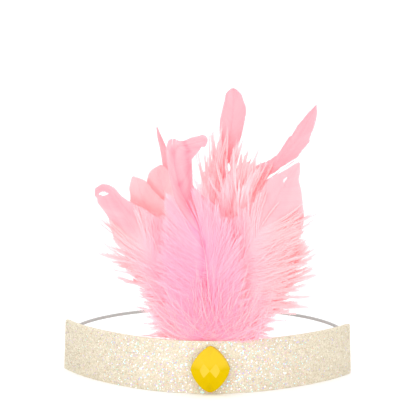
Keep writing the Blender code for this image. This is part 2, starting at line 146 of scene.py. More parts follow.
# A feather's layer counts back from the front. Its blade is smooth from a share of the vane's length on.
# The spine has (across, up), and each edge (share of the length, across, up), as shares of the plume's
# reach and height from the top of the band.
Feather = namedtuple("Feather", "name layer blade turn spine left right")
FEATHERS = (
    Feather(
        "feather_folded", 0, 0.60, 0.10,
        ((-0.02, 0.0), (-0.02, 0.16), (-0.045, 0.32), (-0.085, 0.40), (-0.14, 0.465), (-0.22, 0.535),
         (-0.30, 0.60), (-0.345, 0.67), (-0.365, 0.72), (-0.36, 0.755), (-0.33, 0.775), (-0.26, 0.78),
         (-0.16, 0.79), (-0.06, 0.80)),
        ((0.0, -0.20, 0.0), (0.07, -0.35, 0.06), (0.19, -0.45, 0.16), (0.32, -0.49, 0.28),
         (0.50, -0.49, 0.40), (0.61, -0.473, 0.50), (0.67, -0.452, 0.58), (0.74, -0.436, 0.647),
         (0.80, -0.428, 0.707), (0.835, -0.434, 0.759), (0.865, -0.411, 0.801), (0.89, -0.36, 0.805),
         (0.91, -0.324, 0.797), (0.93, -0.271, 0.793), (0.955, -0.189, 0.81), (0.975, -0.121, 0.815),
         (0.99, -0.082, 0.823), (1.0, -0.047, 0.809)),
        ((0.0, 0.16, 0.0), (0.10, 0.27, 0.09), (0.17, 0.32, 0.17), (0.30, 0.32, 0.29), (0.42, 0.27, 0.41),
         (0.49, 0.15, 0.49), (0.58, -0.02, 0.56), (0.63, -0.139, 0.594), (0.68, -0.187, 0.621),
         (0.73, -0.19, 0.674), (0.78, -0.197, 0.707), (0.91, -0.193, 0.722), (0.955, -0.116, 0.762),
         (0.97, -0.102, 0.776), (0.99, -0.067, 0.77), (1.0, -0.047, 0.792)),
    ),
    Feather(
        "feather_curl", 1, 0.70, -0.02,
        ((-0.06, 0.0), (-0.25, 0.14), (-0.485, 0.277), (-0.696, 0.403), (-0.853, 0.504), (-0.942, 0.563),
         (-1.031, 0.596), (-1.099, 0.591), (-1.115, 0.573)),
        ((0.0, -0.22, -0.01), (0.06, -0.29, 0.0), (0.18, -0.46, 0.056), (0.32, -0.596, 0.131),
         (0.43, -0.674, 0.214), (0.54, -0.762, 0.293), (0.63, -0.862, 0.358), (0.69, -0.94, 0.391),
         (0.74, -0.95, 0.437), (0.80, -0.987, 0.479), (0.84, -1.03, 0.505), (0.90, -1.097, 0.538),
         (0.93, -1.10, 0.555), (1.0, -1.12, 0.563)),
        ((0.0, 0.037, 0.0), (0.13, -0.011, 0.121), (0.27, -0.107, 0.241), (0.44, -0.241, 0.36),
         (0.60, -0.432, 0.458), (0.73, -0.624, 0.515), (0.82, -0.802, 0.55), (0.86, -0.869, 0.568),
         (0.90, -0.937, 0.601), (0.935, -1.005, 0.612), (0.96, -1.061, 0.612), (1.0, -1.124, 0.592)),
    ),
    Feather(
        "feather_broad", 1, 0.74, 0.02,
        ((0.103, 0.0), (0.148, 0.09), (0.22, 0.203), (0.338, 0.343), (0.465, 0.462), (0.583, 0.561),
         (0.702, 0.64), (0.775, 0.688)),
        ((0.0, 0.01, 0.0), (0.11, -0.029, 0.089), (0.25, 0.006, 0.201), (0.41, 0.096, 0.322),
         (0.55, 0.224, 0.422), (0.69, 0.352, 0.521), (0.81, 0.461, 0.60), (0.88, 0.534, 0.648),
         (0.94, 0.645, 0.672), (0.98, 0.738, 0.696), (1.0, 0.802, 0.711)),
        ((0.0, 0.40, -0.02), (0.05, 0.476, 0.0), (0.11, 0.532, 0.038), (0.20, 0.596, 0.095),
         (0.32, 0.67, 0.163), (0.42, 0.769, 0.226), (0.51, 0.80, 0.282), (0.61, 0.81, 0.366),
         (0.71, 0.84, 0.434), (0.79, 0.86, 0.489), (0.88, 0.84, 0.561), (0.92, 0.832, 0.59),
         (0.96, 0.80, 0.644), (0.985, 0.816, 0.672), (1.0, 0.811, 0.706)),
    ),
    Feather(
        "feather_low_left", 2, 2.0, 0.0,
        ((-0.077, 0.0), (-0.20, 0.056), (-0.344, 0.135), (-0.49, 0.212), (-0.636, 0.277), (-0.781, 0.311)),
        ((0.0, -0.30, -0.03), (0.18, -0.41, -0.02), (0.31, -0.55, 0.006), (0.44, -0.60, 0.067),
         (0.56, -0.63, 0.123), (0.64, -0.64, 0.151), (0.72, -0.68, 0.189), (0.82, -0.74, 0.226),
         (0.95, -0.83, 0.282), (1.0, -0.878, 0.308)),
        ((0.0, 0.035, 0.0), (0.14, -0.031, 0.086), (0.36, -0.129, 0.176), (0.59, -0.264, 0.266),
         (0.78, -0.437, 0.32), (0.87, -0.59, 0.338), (0.96, -0.791, 0.332), (1.0, -0.878, 0.314)),
    ),
    Feather(
        "feather_low_right", 2, 2.0, 0.0,
        ((0.157, 0.0), (0.269, 0.071), (0.406, 0.159), (0.562, 0.257), (0.728, 0.337), (0.867, 0.397)),
        ((0.0, 0.045, 0.0), (0.13, 0.10, 0.087), (0.34, 0.19, 0.19), (0.58, 0.355, 0.293),
         (0.79, 0.559, 0.369), (0.92, 0.745, 0.405), (1.0, 0.867, 0.405)),
        ((0.0, 0.36, -0.03), (0.12, 0.438, -0.01), (0.25, 0.531, 0.039), (0.37, 0.61, 0.091),
         (0.48, 0.67, 0.147), (0.60, 0.77, 0.186), (0.75, 0.83, 0.256), (0.87, 0.86, 0.324),
         (1.0, 0.90, 0.377)),
    ),
    Feather(
        "feather_blunt", 3, 0.70, 0.12,
        ((-0.079, 0.0), (-0.207, 0.152), (-0.387, 0.307), (-0.553, 0.447), (-0.672, 0.546),
         (-0.734, 0.626)),
        ((0.02, -0.202, 0.0), (0.22, -0.375, 0.111), (0.46, -0.556, 0.245), (0.65, -0.695, 0.364),
         (0.81, -0.785, 0.464), (0.88, -0.797, 0.529), (0.93, -0.795, 0.566), (0.96, -0.811, 0.593),
         (1.0, -0.783, 0.642)),
        ((0.0, 0.024, 0.0), (0.22, -0.037, 0.153), (0.43, -0.139, 0.309), (0.65, -0.295, 0.449),
         (0.81, -0.46, 0.536), (0.90, -0.587, 0.587), (0.95, -0.641, 0.615), (0.98, -0.669, 0.626),
         (1.0, -0.716, 0.633)),
    ),
    Feather(
        "feather_curved", 3, 0.60, -0.10,
        ((0.128, 0.0), (0.189, 0.154), (0.239, 0.311), (0.283, 0.432), (0.346, 0.533), (0.455, 0.633),
         (0.623, 0.717), (0.772, 0.79), (0.869, 0.854), (0.959, 0.931)),
        ((0.0, 0.024, 0.0), (0.15, 0.038, 0.153), (0.30, 0.069, 0.31), (0.42, 0.123, 0.424),
         (0.52, 0.176, 0.532), (0.59, 0.268, 0.612), (0.67, 0.397, 0.689), (0.72, 0.529, 0.713),
         (0.76, 0.608, 0.735), (0.80, 0.665, 0.771), (0.84, 0.707, 0.806), (0.86, 0.736, 0.81),
         (0.89, 0.785, 0.851), (0.93, 0.835, 0.875), (0.96, 0.885, 0.903), (0.985, 0.928, 0.92),
         (1.0, 0.96, 0.935)),
        ((0.0, 0.269, -0.01), (0.17, 0.376, 0.154), (0.33, 0.427, 0.311), (0.45, 0.462, 0.425),
         (0.56, 0.477, 0.533), (0.63, 0.503, 0.613), (0.70, 0.605, 0.665), (0.78, 0.767, 0.712),
         (0.83, 0.825, 0.749), (0.855, 0.874, 0.774), (0.87, 0.907, 0.791), (0.885, 0.895, 0.797),
         (0.92, 0.937, 0.841), (0.95, 0.958, 0.875), (0.98, 0.968, 0.906), (1.0, 0.96, 0.935)),
    ),
    Feather(
        "feather_round", 4, 0.72, -0.08,
        ((-0.053, 0.0), (-0.135, 0.148), (-0.25, 0.303), (-0.368, 0.444), (-0.469, 0.564), (-0.554, 0.665)),
        ((0.01, -0.166, 0.0), (0.26, -0.287, 0.147), (0.48, -0.432, 0.293), (0.69, -0.551, 0.43),
         (0.85, -0.632, 0.543), (0.94, -0.655, 0.611), (0.97, -0.636, 0.648), (0.985, -0.604, 0.666),
         (1.0, -0.55, 0.679)),
        ((0.0, 0.023, 0.0), (0.22, -0.04, 0.149), (0.44, -0.126, 0.304), (0.64, -0.225, 0.445),
         (0.82, -0.325, 0.565), (0.92, -0.404, 0.633), (0.97, -0.463, 0.674), (1.0, -0.509, 0.687)),
    ),
    Feather(
        "feather_mid", 4, 2.0, 0.0,
        ((0.032, 0.0), (0.092, 0.15), (0.159, 0.305), (0.231, 0.468), (0.275, 0.588), (0.30, 0.694)),
        ((0.0, -0.034, 0.0), (0.22, -0.021, 0.149), (0.43, 0.007, 0.305), (0.65, 0.042, 0.459),
         (0.80, 0.076, 0.568), (0.91, 0.112, 0.636), (0.97, 0.167, 0.681), (1.0, 0.224, 0.70)),
        ((0.01, 0.155, 0.0), (0.25, 0.262, 0.15), (0.47, 0.349, 0.306), (0.69, 0.421, 0.46),
         (0.84, 0.465, 0.569), (0.93, 0.472, 0.637), (0.97, 0.452, 0.678), (1.0, 0.376, 0.71)),
    ),
    Feather(
        "feather_spike", 5, 0.55, 0.06,
        ((-0.111, 0.0), (-0.161, 0.182), (-0.249, 0.379), (-0.35, 0.541), (-0.452, 0.683), (-0.512, 0.764),
         (-0.565, 0.832)),
        ((0.01, -0.206, 0.0), (0.24, -0.295, 0.181), (0.48, -0.403, 0.378), (0.67, -0.466, 0.54),
         (0.84, -0.505, 0.69), (0.91, -0.526, 0.743), (0.97, -0.558, 0.798), (1.0, -0.567, 0.836)),
        ((0.0, -0.054, 0.0), (0.23, -0.085, 0.182), (0.45, -0.153, 0.38), (0.64, -0.254, 0.542),
         (0.79, -0.393, 0.663), (0.89, -0.463, 0.744), (0.97, -0.534, 0.808), (1.0, -0.563, 0.836)),
    ),
    Feather(
        "feather_tall", 5, 0.72, 0.10,
        ((0.002, 0.0), (0.01, 0.183), (0.02, 0.381), (0.043, 0.564), (0.096, 0.686), (0.137, 0.784),
         (0.163, 0.869), (0.176, 0.93), (0.165, 0.987)),
        ((0.0, -0.054, 0.0), (0.20, -0.104, 0.182), (0.39, -0.114, 0.38), (0.53, -0.138, 0.522),
         (0.61, -0.122, 0.615), (0.69, -0.047, 0.689), (0.76, 0.054, 0.758), (0.79, 0.046, 0.782),
         (0.84, 0.042, 0.832), (0.88, 0.044, 0.87), (0.93, 0.071, 0.923), (0.965, 0.092, 0.96),
         (0.98, 0.092, 0.975), (0.99, 0.113, 0.987), (1.0, 0.146, 0.999)),
        ((0.0, 0.116, 0.0), (0.20, 0.162, 0.184), (0.40, 0.192, 0.382), (0.54, 0.216, 0.524),
         (0.63, 0.223, 0.605), (0.69, 0.202, 0.666), (0.74, 0.172, 0.723), (0.78, 0.219, 0.764),
         (0.82, 0.246, 0.802), (0.88, 0.274, 0.858), (0.91, 0.291, 0.898), (0.94, 0.287, 0.925),
         (0.96, 0.256, 0.955), (0.98, 0.249, 0.974), (1.0, 0.185, 0.998)),
    ),
    Feather(
        "feather_back", 6, 2.0, 0.0,
        ((-0.037, 0.0), (-0.031, 0.179), (-0.014, 0.376), (-0.009, 0.539), (-0.003, 0.66)),
        ((0.0, -0.151, 0.0), (0.30, -0.261, 0.177), (0.59, -0.294, 0.374), (0.81, -0.259, 0.517),
         (0.94, -0.204, 0.603), (0.98, -0.128, 0.628), (1.0, -0.061, 0.661)),
        ((0.0, 0.076, 0.0), (0.31, 0.179, 0.18), (0.60, 0.245, 0.377), (0.82, 0.241, 0.52),
         (0.95, 0.181, 0.605), (0.98, 0.103, 0.645), (1.0, 0.035, 0.662)),
    ),
)
LAST_LAYER = max(feather.layer for feather in FEATHERS)

# Edges of blades that are narrower than their vane, where fluff fills up the rest
NARROW_BLADES = {
    ("feather_folded", -1): (
        (0.0, -0.20, 0.0), (0.50, -0.25, 0.40), (0.61, -0.325, 0.50), (0.67, -0.355, 0.58),
        (0.74, -0.395, 0.647), (0.80, -0.42, 0.707), *FEATHERS[0].left[9:],
    ),
}

# The direction to the front, and a length that keeps divisions from failing
FORWARD = np.array((0.0, -1.0, 0.0))
TINY = 1e-12

# Points along a spine or an edge, and how much of an edge's width fluffy feathers and blades keep
SPINE_STEPS = 400
DOWN_TIP = 0.92
BLADE_TIP = 0.985

# Barbs of the down: how many to a side of each feather, their segments, their width at the root and the
# end, how far they sweep towards the tip, how steeply they may leave the vane, how far they turn and twist,
# how far they bulge out of the front and the back, their waves, and how low they reach
DOWN_BARBS = {
    "feather_folded": 3500, "feather_curl": 2700, "feather_broad": 3000, "feather_low_left": 2300,
    "feather_low_right": 2200, "feather_blunt": 1600, "feather_curved": 2500, "feather_round": 1400,
    "feather_mid": 4500, "feather_spike": 900, "feather_tall": 2400, "feather_back": 1700,
}
DOWN_SEGMENTS = 6
DOWN_WIDTHS = (0.00042, 0.00016)
DOWN_SWEEP = 0.36
STEEPEST = 0.40
DOWN_TURN = radians(11)
DOWN_TWIST = radians(12)
OVER_TURN = radians(9)
DOWN_BULGE = 0.0030
DOWN_WAVE = (0.0002, 0.0006)
LOWEST_BARB = BAND_HEIGHT + 0.0006

# Soft locks that barbs gather in, to a side of a feather, and how far they turn
DOWN_LOCKS = 30
LOCK_TURN = radians(5)

# Wisps that stick out, to a side of a feather: the share of barbs that is in them, how far these are strewn,
# how long they are as shares of the way to the edge, also the front feather's, and how far they turn
WISPS = 44
WISP_SHARE = 0.26
WISP_STREWN = 0.008
WISP_LENGTHS = (1.06, 1.42)
FRONT_WISP_LENGTHS = (0.9, 1.05)
WISP_TURN = radians(12)

# Barbs of the blades: how many to a side, their segments and widths, the locks that they part in, how far
# they sweep and twist, how far blade and down overlap, the share of locks that split, and which blades need
# finer faces for their opening
BLADE_BARBS = 800
BLADE_SEGMENTS = 5
BLADE_WIDTHS = (0.00046, 0.00038)
BLADE_LOCKS = 22
BLADE_SWEEP = 0.13
BLADE_TWIST = radians(4)
BLADE_OVERLAP = 0.08
BLADE_SPLITS = 0.25
FINE_BLADES = ("feather_curl",)

# How far all barbs bow, as a share of their length
BARB_BOW = 0.10

# The spines, the front feather's spine that shows at one height, and the tuft at the plume's foot
RACHIS_TIP = 0.16
RACHIS_RINGS = 130
RACHIS_SIDES = 7
RACHIS_SHOWN = 0.0022
RACHIS_SHOWN_AT = 0.068
TUFT_BARBS = 1000
TUFT_FAN = radians(75)
TUFT_TWIST = radians(20)

# How much light shines through a barb, and how far its normals lean to the front
FEATHER_THROUGH = 0.45
EVEN_NORMALS = 1.0

# Dye from deep to pale: a tone and its linear colour, for the down and for the blades
DOWN_DYES = (
    (0.00, (1.0, 0.28, 0.50)), (0.25, (1.0, 0.49, 0.69)), (0.50, (1.0, 0.62, 0.755)),
    (0.75, (1.0, 0.73, 0.78)), (1.00, (1.0, 0.745, 0.755)),
)
WISP_DYE = (1.0, 0.68, 0.70)
BLADE_DYES = ((0.0, (1.0, 0.28, 0.41)), (0.5, (1.0, 0.56, 0.63)), (1.0, (1.0, 0.745, 0.77)))

# Feathers whose down is fuller at the tip (below 1) or at the foot (above 1)
FULLER = {
    "feather_mid": 0.55, "feather_back": 0.7, "feather_tall": 0.7, "feather_low_left": 1.5,
    "feather_low_right": 1.3,
}

# Sides of feathers whose down reaches past the vane's edge between other feathers, and by how much
REACH_INWARDS = {("feather_broad", -1): 0.45, ("feather_curl", 1): 0.30, ("feather_mid", -1): 0.5}

# Feathers whose lowest down all reaches the vane's edge
FULL_FOOT = ("feather_low_left", "feather_low_right")

# How much paler or deeper the blades of some feathers are: partly their own dye, and for the blunt and round
# blades, which lie behind the front feathers, painted light that lifts their shade
BLADE_TONES = {
    "feather_blunt": 0.36, "feather_round": 0.30, "feather_curved": -0.02, "feather_curl": 0.03,
    "feather_tall": 0.0, "feather_broad": 0.09,
}

# For each layer: how much painted light lifts its colour where others cover and shade it, how thick its fluff
# lies, how far the fluff stands forward, and the shortest barb as a share of the way to the edge
LAYER_PAINTED_LIGHT = (0.0, 0.0, 0.15, 0.50, 0.44, 0.70, 0.70)
LAYER_FLUFF = (0.10, 0.16, 0.22, 0.22, 0.22, 0.22, 0.30)
LAYER_FORWARD = (0.0, 0.1, 0.3, 0.8, 1.3, 1.3, 0.8)
LAYER_SHORTEST = (0.22, 0.55, 0.60, 0.60, 0.60, 0.60, 0.60)

# The shares of barbs that lie over the spine, and that lie behind their layer
OVER_SPINE = 0.22
BEHIND = 0.25

# Painted shade: deeper streaks and spots painted where shade falls, in the front feather's fold, beside its
# spine
# and where barbs part: the feather, from and to (across, up), how wide, and by how much
PaintedShade = namedtuple("PaintedShade", "feather low high width depth")
PAINTED_SHADES = (
    PaintedShade("feather_folded", (-0.027, 0.0), (-0.050, 0.23), 0.055, 0.20),
    PaintedShade("feather_folded", (-0.050, 0.12), (-0.072, 0.40), 0.024, 0.36),
    PaintedShade("feather_folded", (-0.271, 0.795), (-0.228, 0.760), 0.016, 0.35),
    PaintedShade("feather_folded", (-0.378, 0.759), (-0.299, 0.621), 0.022, 0.20),
    PaintedShade("feather_folded", (-0.299, 0.621), (-0.125, 0.437), 0.036, 0.32),
    PaintedShade("feather_folded", (-0.237, 0.752), (-0.204, 0.570), 0.026, 0.26),
    PaintedShade("feather_tall", (0.116, 0.657), (0.126, 0.633), 0.030, 0.50),
    PaintedShade("feather_curl", (-1.04, 0.595), (-0.80, 0.51), 0.060, 0.12),
)

# Small places where one sees through the plume: a feather that they lie in, from and to (across, up), and the
# width. They go straight through all the feathers as seen from SEEN_FROM.
Opening = namedtuple("Opening", "feather low high width")
OPENINGS = (
    Opening("feather_curl", (-1.072, 0.575), (-1.003, 0.573), 0.0022),
    Opening("feather_tall", (0.131, 0.692), (0.141, 0.658), 0.00140),
    Opening("feather_curved", (0.755, 0.715), (0.498, 0.633), 0.00110),
    Opening("feather_curved", (0.741, 0.699), (0.676, 0.675), 0.00120),
    Opening("feather_curved", (0.653, 0.63), (0.691, 0.639), 0.00080),
)
SEEN_FROM = CAMERA_PLACE

# Shares of a face's length at which it is tested against the openings
OPENING_SAMPLES = (0.1, 0.3, 0.5, 0.7, 0.9)

# A feather, its spine and one edge as curves, and the side of the spine that the edge is on: -1 or 1
Vane = namedtuple("Vane", "feather spine edge side")


def add_object(name, data):
    thing = bpy.data.objects.new(name, data)
    bpy.context.scene.collection.objects.link(thing)
    return thing


def make_camera():
    camera = add_object("camera", bpy.data.cameras.new("camera"))
    camera.data.sensor_width = CAMERA_SENSOR
    camera.data.lens = CAMERA_LENS
    camera.data.clip_start = 0.01
    turn = Matrix.Rotation(CAMERA_AZIMUTH, 4, "Z") @ Matrix.Rotation(pi / 2 - CAMERA_PITCH, 4, "X")
    turn = turn @ Matrix.Rotation(CAMERA_ROLL, 4, "Z")
    camera.matrix_world = Matrix.Translation(CAMERA_PLACE) @ turn
    bpy.context.scene.camera = camera


def smooth_step(value, start=0.0, width=1.0):
    """A smooth rise from 0 at the start to 1 a width further on."""
    value = np.clip((value - start) / width, 0.0, 1.0)
    return value * value * (3 - 2 * value)


def unit(vectors, least=0.0):
    """Vectors made 1 long, where the least length added keeps empty ones from failing."""
    return vectors / (np.linalg.norm(vectors, axis=-1, keepdims=True) + least)


def resample(points, count):
    """Points at even steps along a line of points."""
    steps = np.linalg.norm(np.diff(points, axis=0), axis=1)
    lengths = np.concatenate([[0.0], np.cumsum(steps)])
    at = np.linspace(0, lengths[-1], count)
    return np.stack([np.interp(at, lengths, column) for column in points.T], axis=1)


def smooth_curve(through, count):
    """Points at even steps along one smooth curve through the given points, as the part's curves run."""
    through = np.array(through, float)
    points = np.vstack([2 * through[0] - through[1], through, 2 * through[-1] - through[-2]])
    fine = []
    for before, low, high, after in zip(points, points[1:], points[2:], points[3:]):
        gaps = [np.linalg.norm(b - a) ** 0.5 for a, b in ((before, low), (low, high), (high, after))]
        knots = np.concatenate([[0.0], np.cumsum(gaps)])
        at = knots[1] + (knots[2] - knots[1]) * np.arange(CURVE_PARTS)[:, None] / CURVE_PARTS

        def mix(first, second, start, end):
            return first + (second - first) * (at - start) / (end - start)

        a = mix(before, low, knots[0], knots[1])
        b = mix(low, high, knots[1], knots[2])
        c = mix(high, after, knots[2], knots[3])
        fine.append(mix(mix(a, b, knots[0], knots[2]), mix(b, c, knots[1], knots[3]), knots[1], knots[2]))
    return resample(np.vstack(fine + [through[-1:]]), count)


def at_share(points, share):
    """Places at shares of a line of evenly spaced points."""
    place = np.clip(share, 0.0, 1.0) * (len(points) - 1)
    return np.stack([np.interp(place, np.arange(len(points)), column) for column in points.T], axis=-1)


def heading_at(share):
    """The band's heading in radians at shares of its half arc."""
    shares, headings = zip(*BAND_BENDS)
    return np.radians(np.interp(share, shares, headings))


def band_plan():
    """Points (x, y) of the right half of the band's middle line, from the front to the end."""
    headings = heading_at((np.arange(BAND_STEPS) + 0.5) / BAND_STEPS)
    step = BAND_HALF_ARC / BAND_STEPS
    x = np.concatenate([[0.0], np.cumsum(step * np.cos(headings))])
    y = np.concatenate([[0.0], np.cumsum(step * np.sin(headings))])
    return x, y


PLAN_X, PLAN_Y = band_plan()


def band_points(arc, offset, height):
    """Points at arc lengths from the front (left is negative), offsets inwards and heights."""
    arc, offset, height = np.broadcast_arrays(arc, offset, height)
    place = np.abs(arc) / BAND_HALF_ARC * BAND_STEPS
    steps = np.arange(BAND_STEPS + 1)
    heading = heading_at(np.abs(arc) / BAND_HALF_ARC)
    x = np.interp(place, steps, PLAN_X) - offset * np.sin(heading)
    y = np.interp(place, steps, PLAN_Y) + offset * np.cos(heading)
    lean = 1 - BAND_LEAN / PLAN_X[-1] * height / BAND_HEIGHT
    return np.stack([np.where(arc < 0, -1, 1) * x * lean, y, height], axis=-1)


def band_depth(x):
    """How far back the band's middle line is at a distance x from its middle."""
    return np.interp(np.abs(x), PLAN_X, PLAN_Y)


def layer_pitch(z):
    spread = smooth_step(z, BAND_HEIGHT, PLUME_SPREAD)
    return PLUME_LAYER_LOW + (PLUME_LAYER - PLUME_LAYER_LOW) * spread


def layer_depth(layer, x, z):
    """How far back a layer's middle is: close behind the band, then puffed out, then leaning and cupped."""
    up = np.maximum(z - BAND_HEIGHT, 0.0) / PLUME_HEIGHT
    swell = np.minimum(up / PUFF_END, 1.0)
    front = BAND_WALL / 2 + GAP + QUILL_DIAMETER
    puff = 4 * PLUME_PUFF * swell * (1 - swell)
    cup = PLUME_CUP * ((x - ORNAMENT_SHIFT) / PLUME_REACH) ** 2
    return front + layer * layer_pitch(z) - puff + PLUME_LEAN_BACK * up * up + cup


def quill_depth(layer, x, z):
    """Depth of the quill: against the band up to the patch's top, then out to its layer."""
    seat = band_depth(x) + BAND_WALL / 2 + GAP + QUILL_DIAMETER / 2
    out = smooth_step(z, PATCH_TOP, BAND_HEIGHT - PATCH_TOP)
    return seat + (layer_depth(layer, x, z) - seat) * out


def mesh_from(name, points, faces, attributes=()):
    """A mesh from an array of points and an array of faces with as many corners each."""
    mesh = bpy.data.meshes.new(name)
    points = np.asarray(points, np.float32).reshape(-1, 3)
    faces = np.asarray(faces, np.int32)
    corners = faces.shape[1]
    mesh.vertices.add(len(points))
    mesh.vertices.foreach_set("co", points.ravel())
    mesh.loops.add(faces.size)
    mesh.loops.foreach_set("vertex_index", faces.ravel())
    mesh.polygons.add(len(faces))
    mesh.polygons.foreach_set("loop_start", np.arange(0, faces.size, corners, dtype=np.int32))
    mesh.update(calc_edges=True)
    mesh.validate()
    for label, values in attributes:
        values = np.asarray(values, np.float32)
        coloured = values.ndim == 2
        layer = mesh.attributes.new(label, "FLOAT_COLOR" if coloured else "FLOAT", "POINT")
        layer.data.foreach_set("color" if coloured else "value", values.ravel())
    return mesh


def grid_faces(rows, columns, closed=False):
    """Faces of four corners between rows of points, round each row too if it is closed."""
    across = columns if closed else columns - 1
    row, column = np.meshgrid(np.arange(rows - 1), np.arange(across), indexing="ij")
    after = (column + 1) % columns
    this_row, next_row = row * columns, (row + 1) * columns
    corners = (this_row + column, this_row + after, next_row + after, next_row + column)
    return np.stack(corners, axis=-1).reshape(-1, 4)


def strip_faces(rows, columns):
    """Faces of a closed tube of flat outlines, with both of its ends."""
    caps = []
    for first in (0, (rows - 1) * columns):
        for low in range(columns // 2 - 1):
            high = columns - 1 - low
            caps.append((first + low, first + low + 1, first + high - 1, first + high))
    return np.vstack([grid_faces(rows, columns, closed=True), caps])


def add_piece(name, mesh, material, slot, *nodes):
    """An object that rides on the part's body and stands for CAD nodes."""
    mesh.materials.clear()
    mesh.materials.append(material)
    piece = add_object(name, mesh)
    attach(piece, "root")
    if nodes:
        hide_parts(*nodes)
    return piece


def new_material(name, colour, roughness, **more):
    """A Principled material, and its node tree and shader."""
    material = bpy.data.materials.new(name)
    material.use_nodes = True
    tree = material.node_tree
    shader = tree.nodes["Principled BSDF"]
    shader.inputs["Base Color"].default_value = (*colour, 1)
    shader.inputs["Roughness"].default_value = roughness
    for socket, value in more.items():
        shader.inputs[socket.replace("_", " ")].default_value = value
    return material, tree, shader


def add_node(tree, kind, inputs=(), **settings):
    node = tree.nodes.new(kind)
    for setting, value in settings.items():
        setattr(node, setting, value)
    for socket, value in dict(inputs).items():
        if isinstance(value, bpy.types.NodeSocket):
            tree.links.new(value, node.inputs[socket])
        else:
            node.inputs[socket].default_value = value
    return node


def colour_ramp(tree, factor, stops, interpolation="LINEAR"):
    """A colour ramp's colour, from rows of a place and a colour."""
    node = add_node(tree, "ShaderNodeValToRGB", {"Fac": factor})
    ramp = node.color_ramp
    ramp.interpolation = interpolation
    while len(ramp.elements) < len(stops):
        ramp.elements.new(0.5)
    for element, (place, colour) in zip(ramp.elements, stops):
        element.position = place
        element.color = (*colour, 1)
    return node.outputs["Color"]


def colour_by(tree, shader, attribute, stops, interpolation="LINEAR"):
    """Colour a shader with a ramp over one of the mesh's attributes."""
    value = add_node(tree, "ShaderNodeAttribute", attribute_name=attribute).outputs["Fac"]
    tree.links.new(colour_ramp(tree, value, stops, interpolation), shader.inputs["Base Color"])


def add_bump(tree, shader, height, distance):
    bump = add_node(tree, "ShaderNodeBump", {"Height": height, "Distance": distance, "Strength": 1.0})
    tree.links.new(bump.outputs["Normal"], shader.inputs["Normal"])


# The elastic

def elastic_route():
    """The elastic's own line: along the inside of the band's end, round the back, and in again."""
    inside = (BAND_WALL + ELASTIC_DIAMETER) / 2 + GAP
    arcs = [BAND_HALF_ARC - ELASTIC_HELD * share for share in ELASTIC_HOLDS] + [BAND_HALF_ARC]
    held = [band_points(arc, inside, ELASTIC_RISE) for arc in arcs]
    start = held[-1]
    loop = []
    for index in range(1, ELASTIC_TURNS):
        angle = pi / 2 * (2 * index / ELASTIC_TURNS - 1)
        back = cos(angle)
        y = start[1] + (ELASTIC_REACH - start[1]) * back
        loop.append((-start[0] * sin(angle), y, ELASTIC_RISE - ELASTIC_SAG * back))
    left = [(-x, y, z) for x, y, z in reversed(held)]
    return smooth_curve(held + loop + left, ELASTIC_RINGS)[::-1]


def tube_frames(path):
    """Directions across a path that doesn't stand upright: sideways and up from it."""
    ahead = unit(np.gradient(path, axis=0))
    side = unit(np.cross(ahead, (0, 0, 1)))
    return side, np.cross(side, ahead)


def make_elastic():
    """The elastic: strands twisted into a round cord."""
    path = elastic_route()
    side, up = tube_frames(path)
    along = np.linspace(0, ELASTIC_LENGTH, ELASTIC_RINGS)[:, None]
    angle = np.linspace(0, 2 * pi, ELASTIC_SIDES, endpoint=False)[None, :]
    phase = ELASTIC_STRANDS * (angle - 2 * pi * along / (ELASTIC_STRANDS * ELASTIC_TWIST))
    lobe = np.abs(np.sin(phase / 2)) ** 0.6
    radius = ELASTIC_DIAMETER / 2 - ELASTIC_GROOVE * (1 - lobe)
    points = path[:, None, :] + radius[..., None] * (
        np.cos(angle)[..., None] * side[:, None, :] + np.sin(angle)[..., None] * up[:, None, :]
    )
    points = np.vstack([points.reshape(-1, 3), path[:1], path[-1:]])
    caps = []
    for end, first in enumerate((0, (ELASTIC_RINGS - 1) * ELASTIC_SIDES)):
        centre = ELASTIC_RINGS * ELASTIC_SIDES + end
        for index in range(0, ELASTIC_SIDES, 2):
            caps.append((centre, *(first + (index + step) % ELASTIC_SIDES for step in (0, 1, 2))))
    faces = np.vstack([grid_faces(ELASTIC_RINGS, ELASTIC_SIDES, closed=True), caps])
    # Painted shade: the grooves between the strands are coloured darker than the strands' crests
    tone = np.concatenate([(lobe + 0 * along).ravel(), [0.5, 0.5]])
    mesh = mesh_from("elastic_cord", points, faces, [("tone", tone)])
    mesh.shade_smooth()

    material, tree, shader = new_material("silver_elastic", (0.34, 0.33, 0.32), 0.5)
    # Painted shade in the grooves: darker at low tone, lighter on the crests
    colour_by(tree, shader, "tone", ((0.0, (0.30, 0.295, 0.285)), (1.0, (0.44, 0.43, 0.41))))
    noise = add_node(tree, "ShaderNodeTexNoise", {"Scale": 2600.0, "Detail": 2.0})
    add_bump(tree, shader, noise.outputs["Fac"], 0.00006)
    cord = add_piece("elastic", mesh, material, "elastic", "elastic_cord")


# The band

def band_section():
    """Rounded outline of the band's cross-section as offsets and heights, front face first."""
    half = BAND_WALL / 2
    corners = ((-half, 0, 180), (-half, BAND_HEIGHT, 90), (half, BAND_HEIGHT, 0), (half, 0, 270))
    outline = []
    for offset, height, first in corners:
        middle_offset = offset - np.sign(offset) * BAND_EDGE
        middle_height = height + (BAND_EDGE if height == 0 else -BAND_EDGE)
        turns = (270, 240, 210, 180) if first == 180 else (first + 90, first + 60, first + 30, first)
        for turn in np.radians(turns):
            outline.append((middle_offset + BAND_EDGE * cos(turn), middle_height + BAND_EDGE * sin(turn)))
    return np.array(outline)


